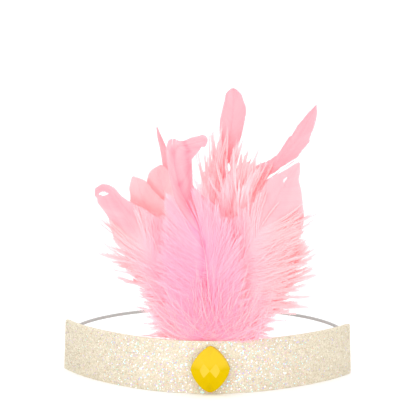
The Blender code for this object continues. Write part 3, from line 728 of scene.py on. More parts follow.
def make_band():
    """The band: glitter cloth over felt, with rounded edges and corners."""
    section = band_section()
    arcs = np.linspace(-BAND_HALF_ARC, BAND_HALF_ARC, 2 * BAND_STEPS + 1)
    corner = BAND_CORNER * (1 - np.cos(np.radians((15, 30, 45, 60, 75))))
    arcs = np.sort(np.concatenate([arcs, -BAND_HALF_ARC + corner, BAND_HALF_ARC - corner]))
    near = np.clip(BAND_CORNER - (BAND_HALF_ARC - np.abs(arcs)), 0, BAND_CORNER)
    cut = BAND_CORNER - np.sqrt(BAND_CORNER ** 2 - near ** 2)
    heights = np.clip(section[None, :, 1], cut[:, None], BAND_HEIGHT - cut[:, None])
    points = band_points(arcs[:, None], section[None, :, 0], heights)
    mesh = mesh_from("band", points, strip_faces(len(arcs), len(section)))
    mesh.shade_smooth()
    mesh.set_sharp_from_angle(angle=radians(50))

    material, tree, shader = new_material("glitter_cloth", (0.8, 0.7, 0.55), 0.5)
    place = add_node(tree, "ShaderNodeTexCoord").outputs["Object"]
    cells = add_node(tree, "ShaderNodeTexVoronoi", {"Vector": place, "Scale": 1500.0})
    grains = colour_ramp(tree, cells.outputs["Color"], (
        (0.0, (0.51, 0.45, 0.32)), (0.35, (0.61, 0.55, 0.41)), (0.7, (0.68, 0.62, 0.48)),
        (1.0, (0.78, 0.75, 0.63)),
    ))
    tree.links.new(grains, shader.inputs["Base Color"])
    add_bump(tree, shader, cells.outputs["Distance"], 0.00012)
    add_piece("glitter_band_cloth", mesh, material, "glitter_fabric", "glitter_band")


def make_flakes():
    """Glitter flakes: small six-sided scales strewn over the band's face, coarser towards its middle."""
    draw = np.random.default_rng(11)
    arc = draw.uniform(-1, 1, FLAKES) * (BAND_HALF_ARC - FLAKE_WIDE)
    height = FLAKE_WIDE + draw.uniform(0, 1, FLAKES) * (BAND_HEIGHT - 2 * FLAKE_WIDE)
    middle = 1 - smooth_step(np.abs(arc), FLAKE_MIDDLE, FLAKE_FADE)
    spark = draw.uniform(0, 1, FLAKES)
    half = (FLAKE_FINE + (FLAKE_WIDE - FLAKE_FINE) * middle * (spark < 0.1)) * draw.uniform(0.6, 1.15, FLAKES)
    tilt = FLAKE_TILT * draw.uniform(0, 1, FLAKES)
    toward = draw.uniform(0, 2 * pi, FLAKES)
    spin = draw.uniform(0, 2 * pi, FLAKES)
    heading = heading_at(np.abs(arc) / BAND_HALF_ARC) * np.where(arc < 0, -1, 1)
    along = np.stack([np.cos(heading), np.sin(heading), 0 * heading], axis=-1)
    out = np.stack([np.sin(heading), -np.cos(heading), 0 * heading], axis=-1)
    up = np.tile((0.0, 0.0, 1.0), (FLAKES, 1))
    lean = np.cos(toward)[:, None] * along + np.sin(toward)[:, None] * up
    normal = np.cos(tilt)[:, None] * out + np.sin(tilt)[:, None] * lean
    first = unit(np.cross(normal, up))
    second = np.cross(normal, first)
    centre = band_points(arc, -BAND_WALL / 2 - 0.3 * half * np.sin(tilt) - 0.00004, height)
    points = []
    for corner in range(6):
        turn = (spin + corner * pi / 3)[:, None]
        points.append(centre + half[:, None] * (np.cos(turn) * first + np.sin(turn) * second))
    points = np.stack(points, axis=1)
    base = np.arange(FLAKES)[:, None] * 6
    faces = np.vstack([base + (0, 1, 2, 3), base + (3, 4, 5, 0)])
    tint = np.where(spark < 0.015 + 0.075 * middle, 0.62 + 0.14 * draw.uniform(0, 1, FLAKES), 0.6 * spark)
    coloured = draw.uniform(0, 1, FLAKES) < 0.05 + 0.13 * middle
    tint = np.repeat(np.where(coloured, draw.uniform(0.78, 1, FLAKES), tint), 6)
    mesh = mesh_from("flakes", points, faces, [("tint", tint)])

    material, tree, shader = new_material("glitter_flakes", (0.6, 0.5, 0.4), 0.3, Metallic=0.15)
    colour_by(tree, shader, "tint", (
        (0.00, (0.53, 0.45, 0.33)), (0.14, (0.64, 0.56, 0.42)), (0.34, (0.71, 0.64, 0.51)),
        (0.50, (0.76, 0.66, 0.56)), (0.61, (1.00, 1.00, 1.00)), (0.69, (0.62, 0.98, 1.00)),
        (0.77, (0.78, 0.44, 0.60)), (0.82, (0.78, 0.38, 0.22)), (0.86, (0.44, 0.72, 0.50)),
        (0.90, (0.48, 0.44, 0.82)), (0.95, (0.66, 0.42, 0.78)),
    ), "CONSTANT")
    add_piece("glitter_flakes", mesh, material, "glitter_fabric")


# The jewel

def rounded_length(x, z):
    """Lengths that are equal all round the jewel's rounded outline."""
    return (np.abs(x) ** JEWEL_ROUNDNESS + np.abs(z) ** JEWEL_ROUNDNESS) ** (1 / JEWEL_ROUNDNESS)


def jewel_place(a, b):
    """Place on the jewel's outline plane of lattice places, with a and b from -1 to 1."""
    x, z = (a + b) / 2, (a - b) / 2
    power = rounded_length(x, z)
    scale = np.where(power > 0, (np.abs(x) + np.abs(z)) / np.where(power > 0, power, 1), 1.0)
    return x * scale * JEWEL_WIDTH / 2, z * scale * JEWEL_HEIGHT / 2


def jewel_rise(steps):
    """How far the front stands out, as a share of the dome: flat lozenges and a small table."""
    knots = np.linspace(-1, 1, JEWEL_CELLS + 1)
    ka, kb = np.meshgrid(knots, knots, indexing="ij")
    corner_rise = np.maximum(1 - (ka * ka + kb * kb) / 2, 0) ** JEWEL_FULLNESS
    rows = np.stack([np.interp(steps, knots, row) for row in corner_rise])
    rise = np.stack([np.interp(steps, knots, column) for column in rows.T], axis=1)
    edge = np.hypot(JEWEL_WIDTH, JEWEL_HEIGHT) / 2 / (JEWEL_CELLS / 2) / 2 ** 0.5
    table = 1 - (1 - corner_rise[2, 1]) * min(JEWEL_TABLE / edge, 1.0)
    return np.minimum(rise, table)


def ease_creases(mesh, index):
    """Round the edges between the facets a little. Index holds the front's points over the lattice."""
    count = len(index)
    shape = bmesh.new()
    shape.from_mesh(mesh)
    bmesh.ops.recalc_face_normals(shape, faces=shape.faces)
    shape.verts.ensure_lookup_table()
    on_crease = {int(v) for k in range(0, count, JEWEL_FINE) for v in (*index[k], *index[:, k])}
    creases = []
    for line in shape.edges:
        low, high = line.verts
        if low.index in on_crease and high.index in on_crease and low.index < count * count:
            row, column = divmod(low.index, count)
            same_row = row == high.index // count and row % JEWEL_FINE == 0
            same_column = column == high.index % count and column % JEWEL_FINE == 0
            if same_row or same_column:
                creases.append(line)
    bmesh.ops.bevel(
        shape, geom=creases, offset=JEWEL_EDGE, segments=2, profile=0.5, affect="EDGES", clamp_overlap=True
    )
    shape.to_mesh(mesh)
    shape.free()


def make_jewel():
    """The jewel: a low dome cut into a lattice of lozenges round a small table."""
    count = JEWEL_CELLS * JEWEL_FINE + 1
    steps = np.linspace(-1, 1, count)
    x, z = jewel_place(*np.meshgrid(steps, steps, indexing="ij"))
    x = x + ORNAMENT_SHIFT
    seat = BAND_WALL / 2 + GAP
    crown = band_depth(ORNAMENT_SHIFT) - seat - JEWEL_GIRDLE
    front = np.stack([x, crown - jewel_rise(steps) * (JEWEL_DEPTH - JEWEL_GIRDLE), JEWEL_RISE + z], axis=-1)
    back = np.stack([x, band_depth(x) - seat, JEWEL_RISE + z], axis=-1)
    index = np.arange(count * count).reshape(count, count)
    rim_front = np.concatenate([index[:-1, 0], index[-1, :-1], index[:0:-1, -1], index[0, :0:-1]])
    rim_back = rim_front + count * count
    walls = np.stack([rim_front, np.roll(rim_front, -1), np.roll(rim_back, -1), rim_back], axis=1)
    front_faces = grid_faces(count, count)
    faces = np.vstack([front_faces, (front_faces + count * count)[:, ::-1], walls])
    mesh = mesh_from("jewel_cut", np.concatenate([front.reshape(-1, 3), back.reshape(-1, 3)]), faces)
    ease_creases(mesh, index)
    mesh.shade_smooth()
    mesh.set_sharp_from_angle(angle=radians(40))
    facet_painted_light(mesh)

    # The facet colours carry painted shade and a painted reflection, so the plastic's own gloss is kept weak
    material, tree, shader = new_material("yellow_plastic", (0.6, 0.41, 0.0), 0.16, Specular_IOR_Level=0.03)
    colour_by(tree, shader, "tone", (
        (0.0, (0.57, 0.395, 0.0)), (0.5, (0.60, 0.415, 0.0)), (1.0, (0.69, 0.475, 0.04)),
    ))
    add_piece("jewel_cut", mesh, material, "jewel_plastic", "jewel")


def facet_painted_light(mesh):
    """Painted light on the facets: lower ones darker as painted shade, middle left and right ones lightest as
    painted reflection.
    """
    middles = np.zeros(len(mesh.polygons) * 3, np.float32)
    mesh.polygons.foreach_get("center", middles)
    middles = middles.reshape(-1, 3)
    x = (middles[:, 0] - ORNAMENT_SHIFT) / (JEWEL_WIDTH / 2)
    z = (middles[:, 2] - JEWEL_RISE) / (JEWEL_HEIGHT / 2)
    # Painted shade: the lower facets darker, the upper ones lighter
    tone = 0.5 + 0.25 * np.clip(z * 4, -1, 1)
    shrink = rounded_length(x, z) / np.maximum(np.abs(x) + np.abs(z), 1e-6)
    a, b = (x + z) * shrink, (x - z) * shrink
    # Painted reflection: the left and right facets in the middle are the lightest
    tone = np.where((np.maximum(np.abs(a), np.abs(b)) < 0.5) & (a * b > 0), 1.0, tone)
    layer = mesh.attributes.new("tone", "FLOAT", "FACE")
    layer.data.foreach_set("value", tone.astype(np.float32))


# The felt patch

def make_patch():
    """The patch: a felt strip with soft edges, turned in to the band at both ends."""
    inner = BAND_WALL / 2 + GAP
    over = inner + QUILL_DIAMETER + GAP
    arc = ORNAMENT_SHIFT + PATCH_WIDTH * (np.linspace(0, 1, PATCH_STEPS + 1) - 0.5)
    from_edge = PATCH_WIDTH / 2 - np.abs(arc - ORNAMENT_SHIFT)
    face = inner + (over - inner) * smooth_step(2 * from_edge / PATCH_HEM - 1)
    height = PATCH_TOP - PATCH_BOTTOM
    outline = []
    for turn in np.linspace(0, 2 * pi, PATCH_CORNERS, endpoint=False):
        across, upward = (np.sign(value) * abs(value) ** 0.35 for value in (cos(turn), sin(turn)))
        outline.append((0.5 + across / 2, 0.5 + upward / 2))
    outline = np.array(outline)
    taper = np.clip(from_edge / (PATCH_WALL / 2), 0.0, 1.0) ** 0.5
    thickness = np.maximum(taper, 0.15)[:, None]
    depth = face[:, None] + PATCH_WALL * (0.5 + (outline[None, :, 0] - 0.5) * thickness)
    heights = PATCH_BOTTOM + height * (0.5 + (outline[None, :, 1] - 0.5) * (0.9 + 0.1 * taper)[:, None])
    points = band_points(arc[:, None], depth, heights)
    mesh = mesh_from("patch", points, strip_faces(PATCH_STEPS + 1, PATCH_CORNERS))
    mesh.shade_smooth()
    mesh.set_sharp_from_angle(angle=radians(60))

    material = felt_material("cream_felt", (0.80, 0.70, 0.56), (0.92, 0.84, 0.72))
    add_piece("quill_patch_felt", mesh, material, "felt", "quill_patch")


def felt_material(name, dark, light):
    """Felt: pressed short fibres, mottled and rough."""
    material, tree, shader = new_material(name, light, 0.95, Sheen_Weight=0.25)
    place = add_node(tree, "ShaderNodeTexCoord").outputs["Object"]
    fibres = add_node(tree, "ShaderNodeTexNoise", {
        "Vector": place, "Scale": 900.0, "Detail": 6.0, "Distortion": 1.2,
    })
    colour = colour_ramp(tree, fibres.outputs["Fac"], ((0.3, dark), (0.7, light)))
    tree.links.new(colour, shader.inputs["Base Color"])
    add_bump(tree, shader, fibres.outputs["Fac"], 0.0003)
    return material


# The feathers

def plume_place(row):
    """(x, z) from shares of the plume's reach and height."""
    return np.array((ORNAMENT_SHIFT, BAND_HEIGHT)) + row * (PLUME_REACH, PLUME_HEIGHT)


def plume_shares(x, z):
    """Shares of the plume's reach and height at which places lie."""
    return (x - ORNAMENT_SHIFT) / PLUME_REACH, (z - BAND_HEIGHT) / PLUME_HEIGHT


def upright(line, depth):
    """Places in space from (x, z) and how far back they are."""
    return np.stack([line[..., 0], depth, line[..., 1]], axis=-1)


def edge_curve(rows, feather):
    """An edge of a vane at even shares of its length up to the tip's middle, a little rounded."""
    tip = (np.array(feather.left[-1]) + np.array(feather.right[-1])) / 2
    rows = np.vstack([rows, tip])
    rows[:-1, 0] *= DOWN_TIP if feather.blade > 1 else BLADE_TIP
    share = np.linspace(0, 1, SPINE_STEPS)
    line = np.stack([np.interp(share, rows[:, 0], rows[:, column]) for column in (1, 2)], axis=1)
    padded = np.pad(line, ((3, 3), (0, 0)), mode="edge")
    line = sum(padded[shift:shift + SPINE_STEPS] for shift in range(7)) / 7
    return plume_place(line)


def ribbons(lines, widths, twist, dye_and_painted_light):
    """Thin ribbons along lines: their points, faces and colours, dye with painted light and shade. Twist
    turns each ribbon about its line.
    """
    count, steps, _ = lines.shape
    ahead = unit(np.gradient(lines, axis=1), TINY)
    across = unit(np.cross(ahead, FORWARD), TINY)
    out = np.cross(across, ahead)
    wide = np.cos(twist)[:, None, None] * across + np.sin(twist)[:, None, None] * out
    normal = np.cross(wide, ahead)
    normal = unit(normal * -np.sign(normal[..., 1:2]) + EVEN_NORMALS * FORWARD)
    half = wide * widths[..., None] / 2
    points = np.stack([lines - half, lines + half], axis=2)
    start = np.arange(count)[:, None] * steps * 2 + np.arange(steps - 1)[None, :] * 2
    faces = start.reshape(-1, 1) + (0, 1, 3, 2)
    look = np.concatenate([dye_and_painted_light, normal], axis=2)
    return points.reshape(-1, 3), faces, np.repeat(look.reshape(-1, 7), 2, axis=0)


def tube(line, radii, sides, dye_and_painted_light):
    """A tapered round tube along an upright line: its points, faces and colours, dye with painted shade."""
    ahead = unit(np.gradient(line, axis=0))
    across = unit(np.cross(ahead, FORWARD))
    out = np.cross(across, ahead)
    angle = np.linspace(0, 2 * pi, sides, endpoint=False)
    ring = np.cos(angle)[None, :, None] * across[:, None, :] + np.sin(angle)[None, :, None] * out[:, None, :]
    points = line[:, None, :] + ring * radii[:, None, None]
    look = np.concatenate([np.repeat(dye_and_painted_light, sides, axis=0), np.zeros((len(line) * sides, 3))], axis=1)
    return points.reshape(-1, 3), grid_faces(len(line), sides, closed=True)[:, ::-1], look


def plume_tone(line):
    """How pale the plume is: deepest low in its middle, part dye and part painted shade, palest at its outer
    edges.
    """
    across, up = plume_shares(line[..., 0], line[..., 1])
    far = np.hypot(across + 0.12 * smooth_step(up, 0, 0.3), np.maximum(up - 0.24, 0) * 1.4)
    return 0.43 + 0.53 * smooth_step(far)


def painted_shade_depth(feather, line):
    """How much deeper the painted shade makes the plume's colour, in its fold and where its barbs part."""
    across, up = plume_shares(line[..., 0], line[..., 1])
    depth = 0 * across
    for painted_shade in PAINTED_SHADES:
        if painted_shade.feather == feather.name:
            low, high = np.array(painted_shade.low), np.array(painted_shade.high)
            reach = (high - low) * (PLUME_REACH, PLUME_HEIGHT)
            away = np.stack([(across - low[0]) * PLUME_REACH, (up - low[1]) * PLUME_HEIGHT], axis=-1)
            share = np.clip((away @ reach) / (reach @ reach), 0, 1)
            distance = np.linalg.norm(away - share[..., None] * reach, axis=-1) / PLUME_REACH
            depth = depth + painted_shade.depth * np.exp(-(distance / painted_shade.width) ** 2)
    return depth


def dyed(tone, dyes):
    """Linear colours (with alpha) of tones."""
    places = [place for place, _ in dyes]
    channels = [np.interp(tone, places, [colour[index] for _, colour in dyes]) for index in range(3)]
    return np.stack(channels + [np.ones_like(tone)], axis=-1)


def painted_light_where_covered(colour, feather, line):
    """Colours painted paler where other feathers cover this one: painted light over the shade they cast."""
    across, up = plume_shares(line[..., 0], line[..., 1])
    covered = 1 - smooth_step(np.hypot(across / 0.75, (up - 0.30) / 0.42), 0.7, 0.5)
    return colour + (1 - colour) * (LAYER_PAINTED_LIGHT[feather.layer] * covered)[..., None]


def streaks(draw, share, count):
    """Soft random streaks along a vane: a value for each share of its length."""
    return np.interp(share, np.linspace(0, 1, count), draw.normal(0, 1, count))


def turned(vectors, angle):
    """Vectors (x, z) turned by angles."""
    return np.stack([
        vectors[:, 0] * np.cos(angle) - vectors[:, 1] * np.sin(angle),
        vectors[:, 0] * np.sin(angle) + vectors[:, 1] * np.cos(angle),
    ], axis=1)


def swept_share(feather, share):
    """Where on the spine a loose barb is rooted that ends at a share of the edge."""
    return share * (1 - DOWN_SWEEP * (1 - 0.5 * share ** 3 if feather.blade > 1 else 1 - share ** 5))


def lock_tips(vane, shares, turn, length):
    """Places where locks end: from their roots on the spine out to the vane's edge, turned and stretched."""
    root = at_share(vane.spine, swept_share(vane.feather, shares))
    return root + turned(at_share(vane.edge, shares) - root, turn) * length[:, None]


def sticks_out(tips):
    """Which tips lie at the plume's outer edge, from 0 to 1."""
    across, up = plume_shares(tips[:, 0], tips[:, 1])
    sideways = smooth_step(np.abs(across) - np.minimum(0.46 + 0.9 * up, 0.74), 0, 0.08)
    return np.maximum(sideways, smooth_step(up, 0.62, 0.05))


def down_roots(feather, draw, number):
    """Shares of the vane for barbs and for wisps, which barbs are in a wisp, and which wisp is nearest."""
    top = min(feather.blade + BLADE_OVERLAP, 1.0)
    fuller = FULLER.get(feather.name, 1.0)
    share = np.sort(draw.uniform(0, 1, number) ** fuller) * top
    wisp_share = np.sort(draw.uniform(0.0, 1.0, WISPS) ** fuller) * top
    stray = draw.uniform(0, 1, number) < (WISP_SHARE if feather.layer else WISP_SHARE / 2)
    wisp = np.abs(share[:, None] - wisp_share[None, :]).argmin(axis=1)
    gathered = np.clip(wisp_share[wisp] + WISP_STREWN * draw.normal(0, 1, number), 0, top)
    return np.where(stray, gathered, share), wisp_share, stray, wisp


def looseness(feather, share):
    """How loose barbs are: less beside the blade, and less in the top of a vane without one."""
    loose = 1 - smooth_step(share - feather.blade + 0.10, 0, 0.14)
    return loose - 0.6 * (feather.blade > 1) * smooth_step(share, 0.6, 0.3)


def own_ends(feather, share, root, reach, loose, draw):
    """Where barbs would end by themselves, part of the way to the edge and turned a little."""
    shortest = LAYER_SHORTEST[feather.layer]
    stretch = shortest + (1 - shortest) * draw.beta(1.7, 1.3, len(share))
    stretch = (1 - (1 - stretch) * (0.4 + 0.6 * loose)) * (1 - 0.06 * loose * (feather.layer > 0))
    if feather.name in FULL_FOOT:
        stretch = stretch + (1 - stretch) * 0.75 * (1 - smooth_step(share, 0, 0.30))
    turn = DOWN_TURN * draw.normal(0, 1, len(share)) * (0.2 + 0.8 * loose)
    return root + turned(reach, turn) * stretch[:, None]


def locked_ends(vane, share, own, draw):
    """Where barbs end that gather in soft locks, and which lock each one is in."""
    top = min(vane.feather.blade + BLADE_OVERLAP, 1.0)
    lock = (share / top * DOWN_LOCKS + draw.normal(0, 0.4, len(share))).astype(int)
    lock = np.clip(lock, 0, DOWN_LOCKS - 1)
    lock_share = (np.arange(DOWN_LOCKS) + 0.5 + draw.uniform(-0.3, 0.3, DOWN_LOCKS)) / DOWN_LOCKS * top
    length = 0.93 + 0.06 * draw.normal(0, 1, DOWN_LOCKS)
    tips = lock_tips(vane, lock_share, LOCK_TURN * draw.normal(0, 1, DOWN_LOCKS), length)
    gather = np.where(draw.uniform(0, 1, len(share)) < 0.5, 0.5, 0.1) * draw.uniform(0.6, 1.1, len(share))
    gather = gather * (0.5 if vane.feather.layer > 1 else 1.0)
    return own + (tips[lock] - own) * gather[:, None], lock


def wisp_tips(vane, wisp_share, draw):
    """Where wisps end, and which of them stick out of the plume, from 0 to 1."""
    low, high = WISP_LENGTHS if vane.feather.layer else FRONT_WISP_LENGTHS
    length = low + (high - low) * draw.uniform(0, 1, WISPS) ** 1.4
    turn = WISP_TURN * draw.normal(0, 1, WISPS)
    outer = sticks_out(lock_tips(vane, wisp_share, turn, np.ones(WISPS)))
    return lock_tips(vane, wisp_share, turn, 1 + (length - 1) * outer), outer


def reached_inwards(vane, share, root, end):
    """Ends moved past the vane's edge, where the down fills the plume between feathers."""
    if (vane.feather.name, vane.side) not in REACH_INWARDS:
        return end
    further = REACH_INWARDS[vane.feather.name, vane.side]
    inwards = 1 + further * smooth_step(share, 0, 0.3) * (1 - smooth_step(share, 0.55, 0.2))
    return root + (end - root) * inwards[:, None]


def over_spine(vane, share, root, end, stray, draw):
    """Ends, with those of some barbs moved that lie along the spine, over it."""
    over = (draw.uniform(0, 1, len(share)) < OVER_SPINE) & ~stray & (vane.feather.layer > 1)
    along = at_share(vane.spine, swept_share(vane.feather, share) + 0.16) - root
    along = along * (0.5 + 0.5 * draw.uniform(0, 1, len(share)))[:, None]
    turn = OVER_TURN * draw.normal(0, 1, len(share))
    return np.where(over[:, None], root + turned(along, turn), end)


def waved(line, t, reach, loose, draw):
    """Barbs' points with a slight wave, kept above the band."""
    number = len(line)
    wave = (DOWN_WAVE[0] + DOWN_WAVE[1] * draw.uniform(0, 1, number) * loose)[:, None] * t
    phase = draw.uniform(0, 2 * pi, number)[:, None] + 2 * pi * t * draw.uniform(0.4, 1.3, number)[:, None]
    normal = unit(np.stack([-reach[:, 1], reach[:, 0]], axis=1), TINY)
    line = line + normal[:, None, :] * (wave * np.sin(phase))[..., None]
    line[..., 1] = np.maximum(line[..., 1], LOWEST_BARB + 0.15 * (line[..., 1] - LOWEST_BARB))
    return line


def down_depth(feather, line, t, length, draw):
    """How far back loose barbs of some lengths lie: strewn about their layer, most of them before it."""
    number = len(line)
    pitch = layer_pitch(line[..., 1])
    lift = draw.normal(0, 1, number)[:, None]
    spread = lift * (0.12 + 0.88 * t ** 0.8) * LAYER_FLUFF[feather.layer] * pitch
    bulge = draw.uniform(0.6, 1.2, number)[:, None] * t * (1 - 0.5 * t) * DOWN_BULGE
    forward = LAYER_FORWARD[feather.layer] * (1 - 0.8 * draw.uniform(0, 1, number) ** 2)[:, None] * t ** 0.7
    spread = spread - forward * pitch
    if feather.layer == 0:
        spread = spread - bulge
    if feather.layer == LAST_LAYER:
        spread = spread + bulge
    behind = draw.uniform(0, 1, number) < BEHIND
    spread = np.where(behind[:, None], np.abs(lift) * 0.7 * pitch * t, spread)
    limit = STEEPEST * length[:, None] * (0.15 + 0.85 * t)
    return layer_depth(feather.layer, line[..., 0], line[..., 1]) + limit * np.tanh(spread / limit)


def down_barbs(vane, draw, number):
    """Loose barbs of a vane's fluffy part, from the spine outwards, some gathered in wisps that stick out."""
    feather = vane.feather
    share, wisp_share, stray, wisp = down_roots(feather, draw, number)
    loose = looseness(feather, share)
    root = at_share(vane.spine, swept_share(feather, share))
    reach = at_share(vane.edge, share) - root
    own = own_ends(feather, share, root, reach, loose, draw)
    end, lock = locked_ends(vane, share, own, draw)
    tips, outer = wisp_tips(vane, wisp_share, draw)
    end = reached_inwards(vane, share, root, end)
    short = 1 - 0.24 * draw.uniform(0, 1, number) ** 2
    end = np.where(stray[:, None], root + (own + (tips[wisp] - own) * 0.94 - root) * short[:, None], end)
    end = over_spine(vane, share, root, end, stray, draw)
    line, t = bowed(root, end, vane.side, DOWN_SEGMENTS)
    line = waved(line, t, reach, loose, draw)
    depth = down_depth(feather, line, t, np.linalg.norm(end - root, axis=1), draw)
    width = DOWN_WIDTHS[0] + (DOWN_WIDTHS[1] - DOWN_WIDTHS[0]) * t ** 1.5
    width = width * draw.uniform(0.75, 1.2, number)[:, None] * np.where(stray[:, None], 1 + 0.3 * t, 1)
    # Painted shade streaks and spots deepen the tone
    tone = plume_tone(line) - painted_shade_depth(feather, line)
    tone = tone + 0.02 * draw.normal(0, 1, DOWN_LOCKS)[lock][:, None]
    tone = tone + 0.03 * draw.normal(0, 1, number)[:, None]
    twist = draw.normal(0, 1, number) * DOWN_TWIST
    # Painted light: paler where other feathers cover and shade this one
    dye_and_painted_light = painted_light_where_covered(dyed(tone, DOWN_DYES), feather, line)
    outer = (t ** 2 * (stray & (outer[wisp] > 0.3))[:, None])[..., None]
    dye_and_painted_light = dye_and_painted_light + (np.array((*WISP_DYE, 1.0)) - dye_and_painted_light) * 0.8 * outer
    return ribbons(upright(line, depth), width, twist, dye_and_painted_light)


def tuft_barbs(feather, draw, number):
    """Short barbs that fan up and out from the foot of the plume, in front of it."""
    root = np.stack([
        ORNAMENT_SHIFT + 0.009 * draw.normal(0, 1, number),
        BAND_HEIGHT - 0.0015 + 0.014 * draw.uniform(0, 1, number) ** 2,
    ], axis=1)
    angle = TUFT_FAN * np.clip(draw.normal(0, 0.55, number), -1, 1)
    length = 0.010 + 0.028 * draw.uniform(0, 1, number) ** 1.5
    end = root + np.stack([np.sin(angle), np.cos(angle)], axis=1) * length[:, None]
    line, t = bowed(root, end, np.sign(angle)[:, None], DOWN_SEGMENTS)
    forward = 0.0006 + np.abs(draw.normal(0, 1, number))[:, None] * t * (1 - 0.45 * t) * 0.0034
    depth = layer_depth(feather.layer, line[..., 0], line[..., 1]) - forward
    width = (DOWN_WIDTHS[0] + (DOWN_WIDTHS[1] - DOWN_WIDTHS[0]) * t) * draw.uniform(0.6, 1.0, number)[:, None]
    tone = plume_tone(line) + 0.40 * (draw.uniform(0, 1, number)[:, None] < 0.4) - 0.06
    return ribbons(upright(line, depth), width, TUFT_TWIST * draw.normal(0, 1, number), dyed(tone, DOWN_DYES))


def bowed(root, end, side, segments):
    """Points of barbs from roots to ends, bowed towards the tip, and the share along each."""
    t = np.linspace(0, 1, segments + 1)[None, :]
    reach = end - root
    normal = np.stack([reach[:, 1], -reach[:, 0]], axis=1) * side
    control = root + reach * 0.48 + normal * BARB_BOW
    weights = ((1 - t) ** 2, 2 * t * (1 - t), t ** 2)
    line = sum(weight[..., None] * point[:, None, :] for weight, point in zip(weights, (root, control, end)))
    return line, t


def blade_tone(feather, line):
    """How pale a blade is."""
    # The blunt and round blades' extra paleness here is painted light over their shade
    return plume_tone(line) * 0.5 + BLADE_TONES.get(feather.name, 0)


def blade_dye_and_painted_light(feather, line, share, tone):
    """A blade's colours, which turn into the down's where the blade ends below."""
    down_dye = dyed(plume_tone(line), DOWN_DYES)
    blended = smooth_step(share - feather.blade + 0.05, 0, 0.15)[:, None, None]
    # Painted light: paler where other feathers cover and shade this one
    return painted_light_where_covered(down_dye + (dyed(tone, BLADE_DYES) - down_dye) * blended, feather, line)


def blade_barbs(vane, draw, number):
    """Close barbs of a vane's smooth part, which split here and there at the vane's edge."""
    feather = vane.feather
    low = feather.blade - BLADE_OVERLAP
    share = low + (1 - low) * (np.arange(number) + 0.5) / number
    place = (share - low) / (1 - low) * BLADE_LOCKS
    lock = np.floor(place).astype(int)
    inside = place - lock - 0.5
    split = np.where(draw.uniform(0, 1, BLADE_LOCKS) < BLADE_SPLITS, 0.30, 0.04)[lock] * (share < 0.9)
    root = at_share(vane.spine, share - BLADE_SWEEP * share * (1 - share ** 8))
    end = at_share(vane.edge, share - split * inside / BLADE_LOCKS * (1 - low))
    notch = 1 - 0.12 * split * (2 * inside) ** 4 - 0.02 * draw.uniform(0, 1, number)
    end = root + (end - root) * notch[:, None]
    line, t = bowed(root, end, vane.side, BLADE_SEGMENTS * (2 if feather.name in FINE_BLADES else 1))
    out = np.linalg.norm(line - root[:, None, :], axis=2)
    depth = layer_depth(feather.layer, line[..., 0], line[..., 1])
    depth = depth + feather.turn * vane.side * out + 0.03 * out * t
    rough = streaks(draw, share, 60)[:, None]
    depth = depth + 0.00005 * rough * t + 0.00004 * draw.normal(0, 1, number)[:, None]
    width = BLADE_WIDTHS[0] + (BLADE_WIDTHS[1] - BLADE_WIDTHS[0]) * t ** 1.5
    width = width * draw.uniform(0.85, 1.15, number)[:, None]
    tone = blade_tone(feather, line) + 0.20 + 0.03 * rough + 0.02 * draw.normal(0, 1, number)[:, None]
    # Painted shade streaks and spots deepen the tone
    tone = tone - painted_shade_depth(feather, line)
    tone = tone + 0.05 * streaks(draw, t + 0 * tone, 9) - 0.06 * np.exp(-(t / 0.16) ** 2)
    dye_and_painted_light = blade_dye_and_painted_light(feather, line, share, tone)
    return ribbons(upright(line, depth), width, BLADE_TWIST * draw.normal(0, 1, number), dye_and_painted_light)


def feather_stem(feather, spine, spine_rows):
    """The quill from its foot behind the band and the spine that goes on from it, as one tapered tube."""
    foot_x = ORNAMENT_SHIFT + (spine[0, 0] - ORNAMENT_SHIFT) * QUILL_PINCH
    quill = np.array([
        (foot_x, QUILL_FOOT), (foot_x + (spine[0, 0] - foot_x) * 0.5, (QUILL_FOOT + BAND_HEIGHT) / 2),
    ])
    stem = smooth_curve(np.vstack([quill, spine_rows]), RACHIS_RINGS)
    line = upright(stem, quill_depth(feather.layer, stem[:, 0], stem[:, 1]))
    share = np.linspace(0, 1, len(stem))
    radii = QUILL_DIAMETER / 2 * (1 - (1 - RACHIS_TIP) * smooth_step(share, 0.06, 0.45))
    radii[:3] *= (0.25, 0.7, 0.95)
    tone = plume_tone(stem)
    if feather.layer == 0:
        shown = np.exp(-((stem[:, 1] - RACHIS_SHOWN_AT) / 0.020) ** 2)
        line[:, 1] -= RACHIS_SHOWN * shown
        tone = tone + 0.40 * shown
    dye_and_painted_light = dyed(tone, DOWN_DYES)
    if feather.blade < 1:
        blended = smooth_step(share, feather.blade, 0.15)[:, None]
        dye_and_painted_light = dye_and_painted_light + (dyed(blade_tone(feather, stem) + 0.16, BLADE_DYES) - dye_and_painted_light) * blended
    return tube(line, radii, RACHIS_SIDES, dye_and_painted_light)


def joined(parts):
    """Points, faces and looks of parts as one."""
    points, faces, looks = zip(*parts)
    starts = np.cumsum([0] + [len(part) for part in points])
    faces = [part + start for part, start in zip(faces, starts)]
    return np.vstack(points), np.vstack(faces), np.vstack(looks)


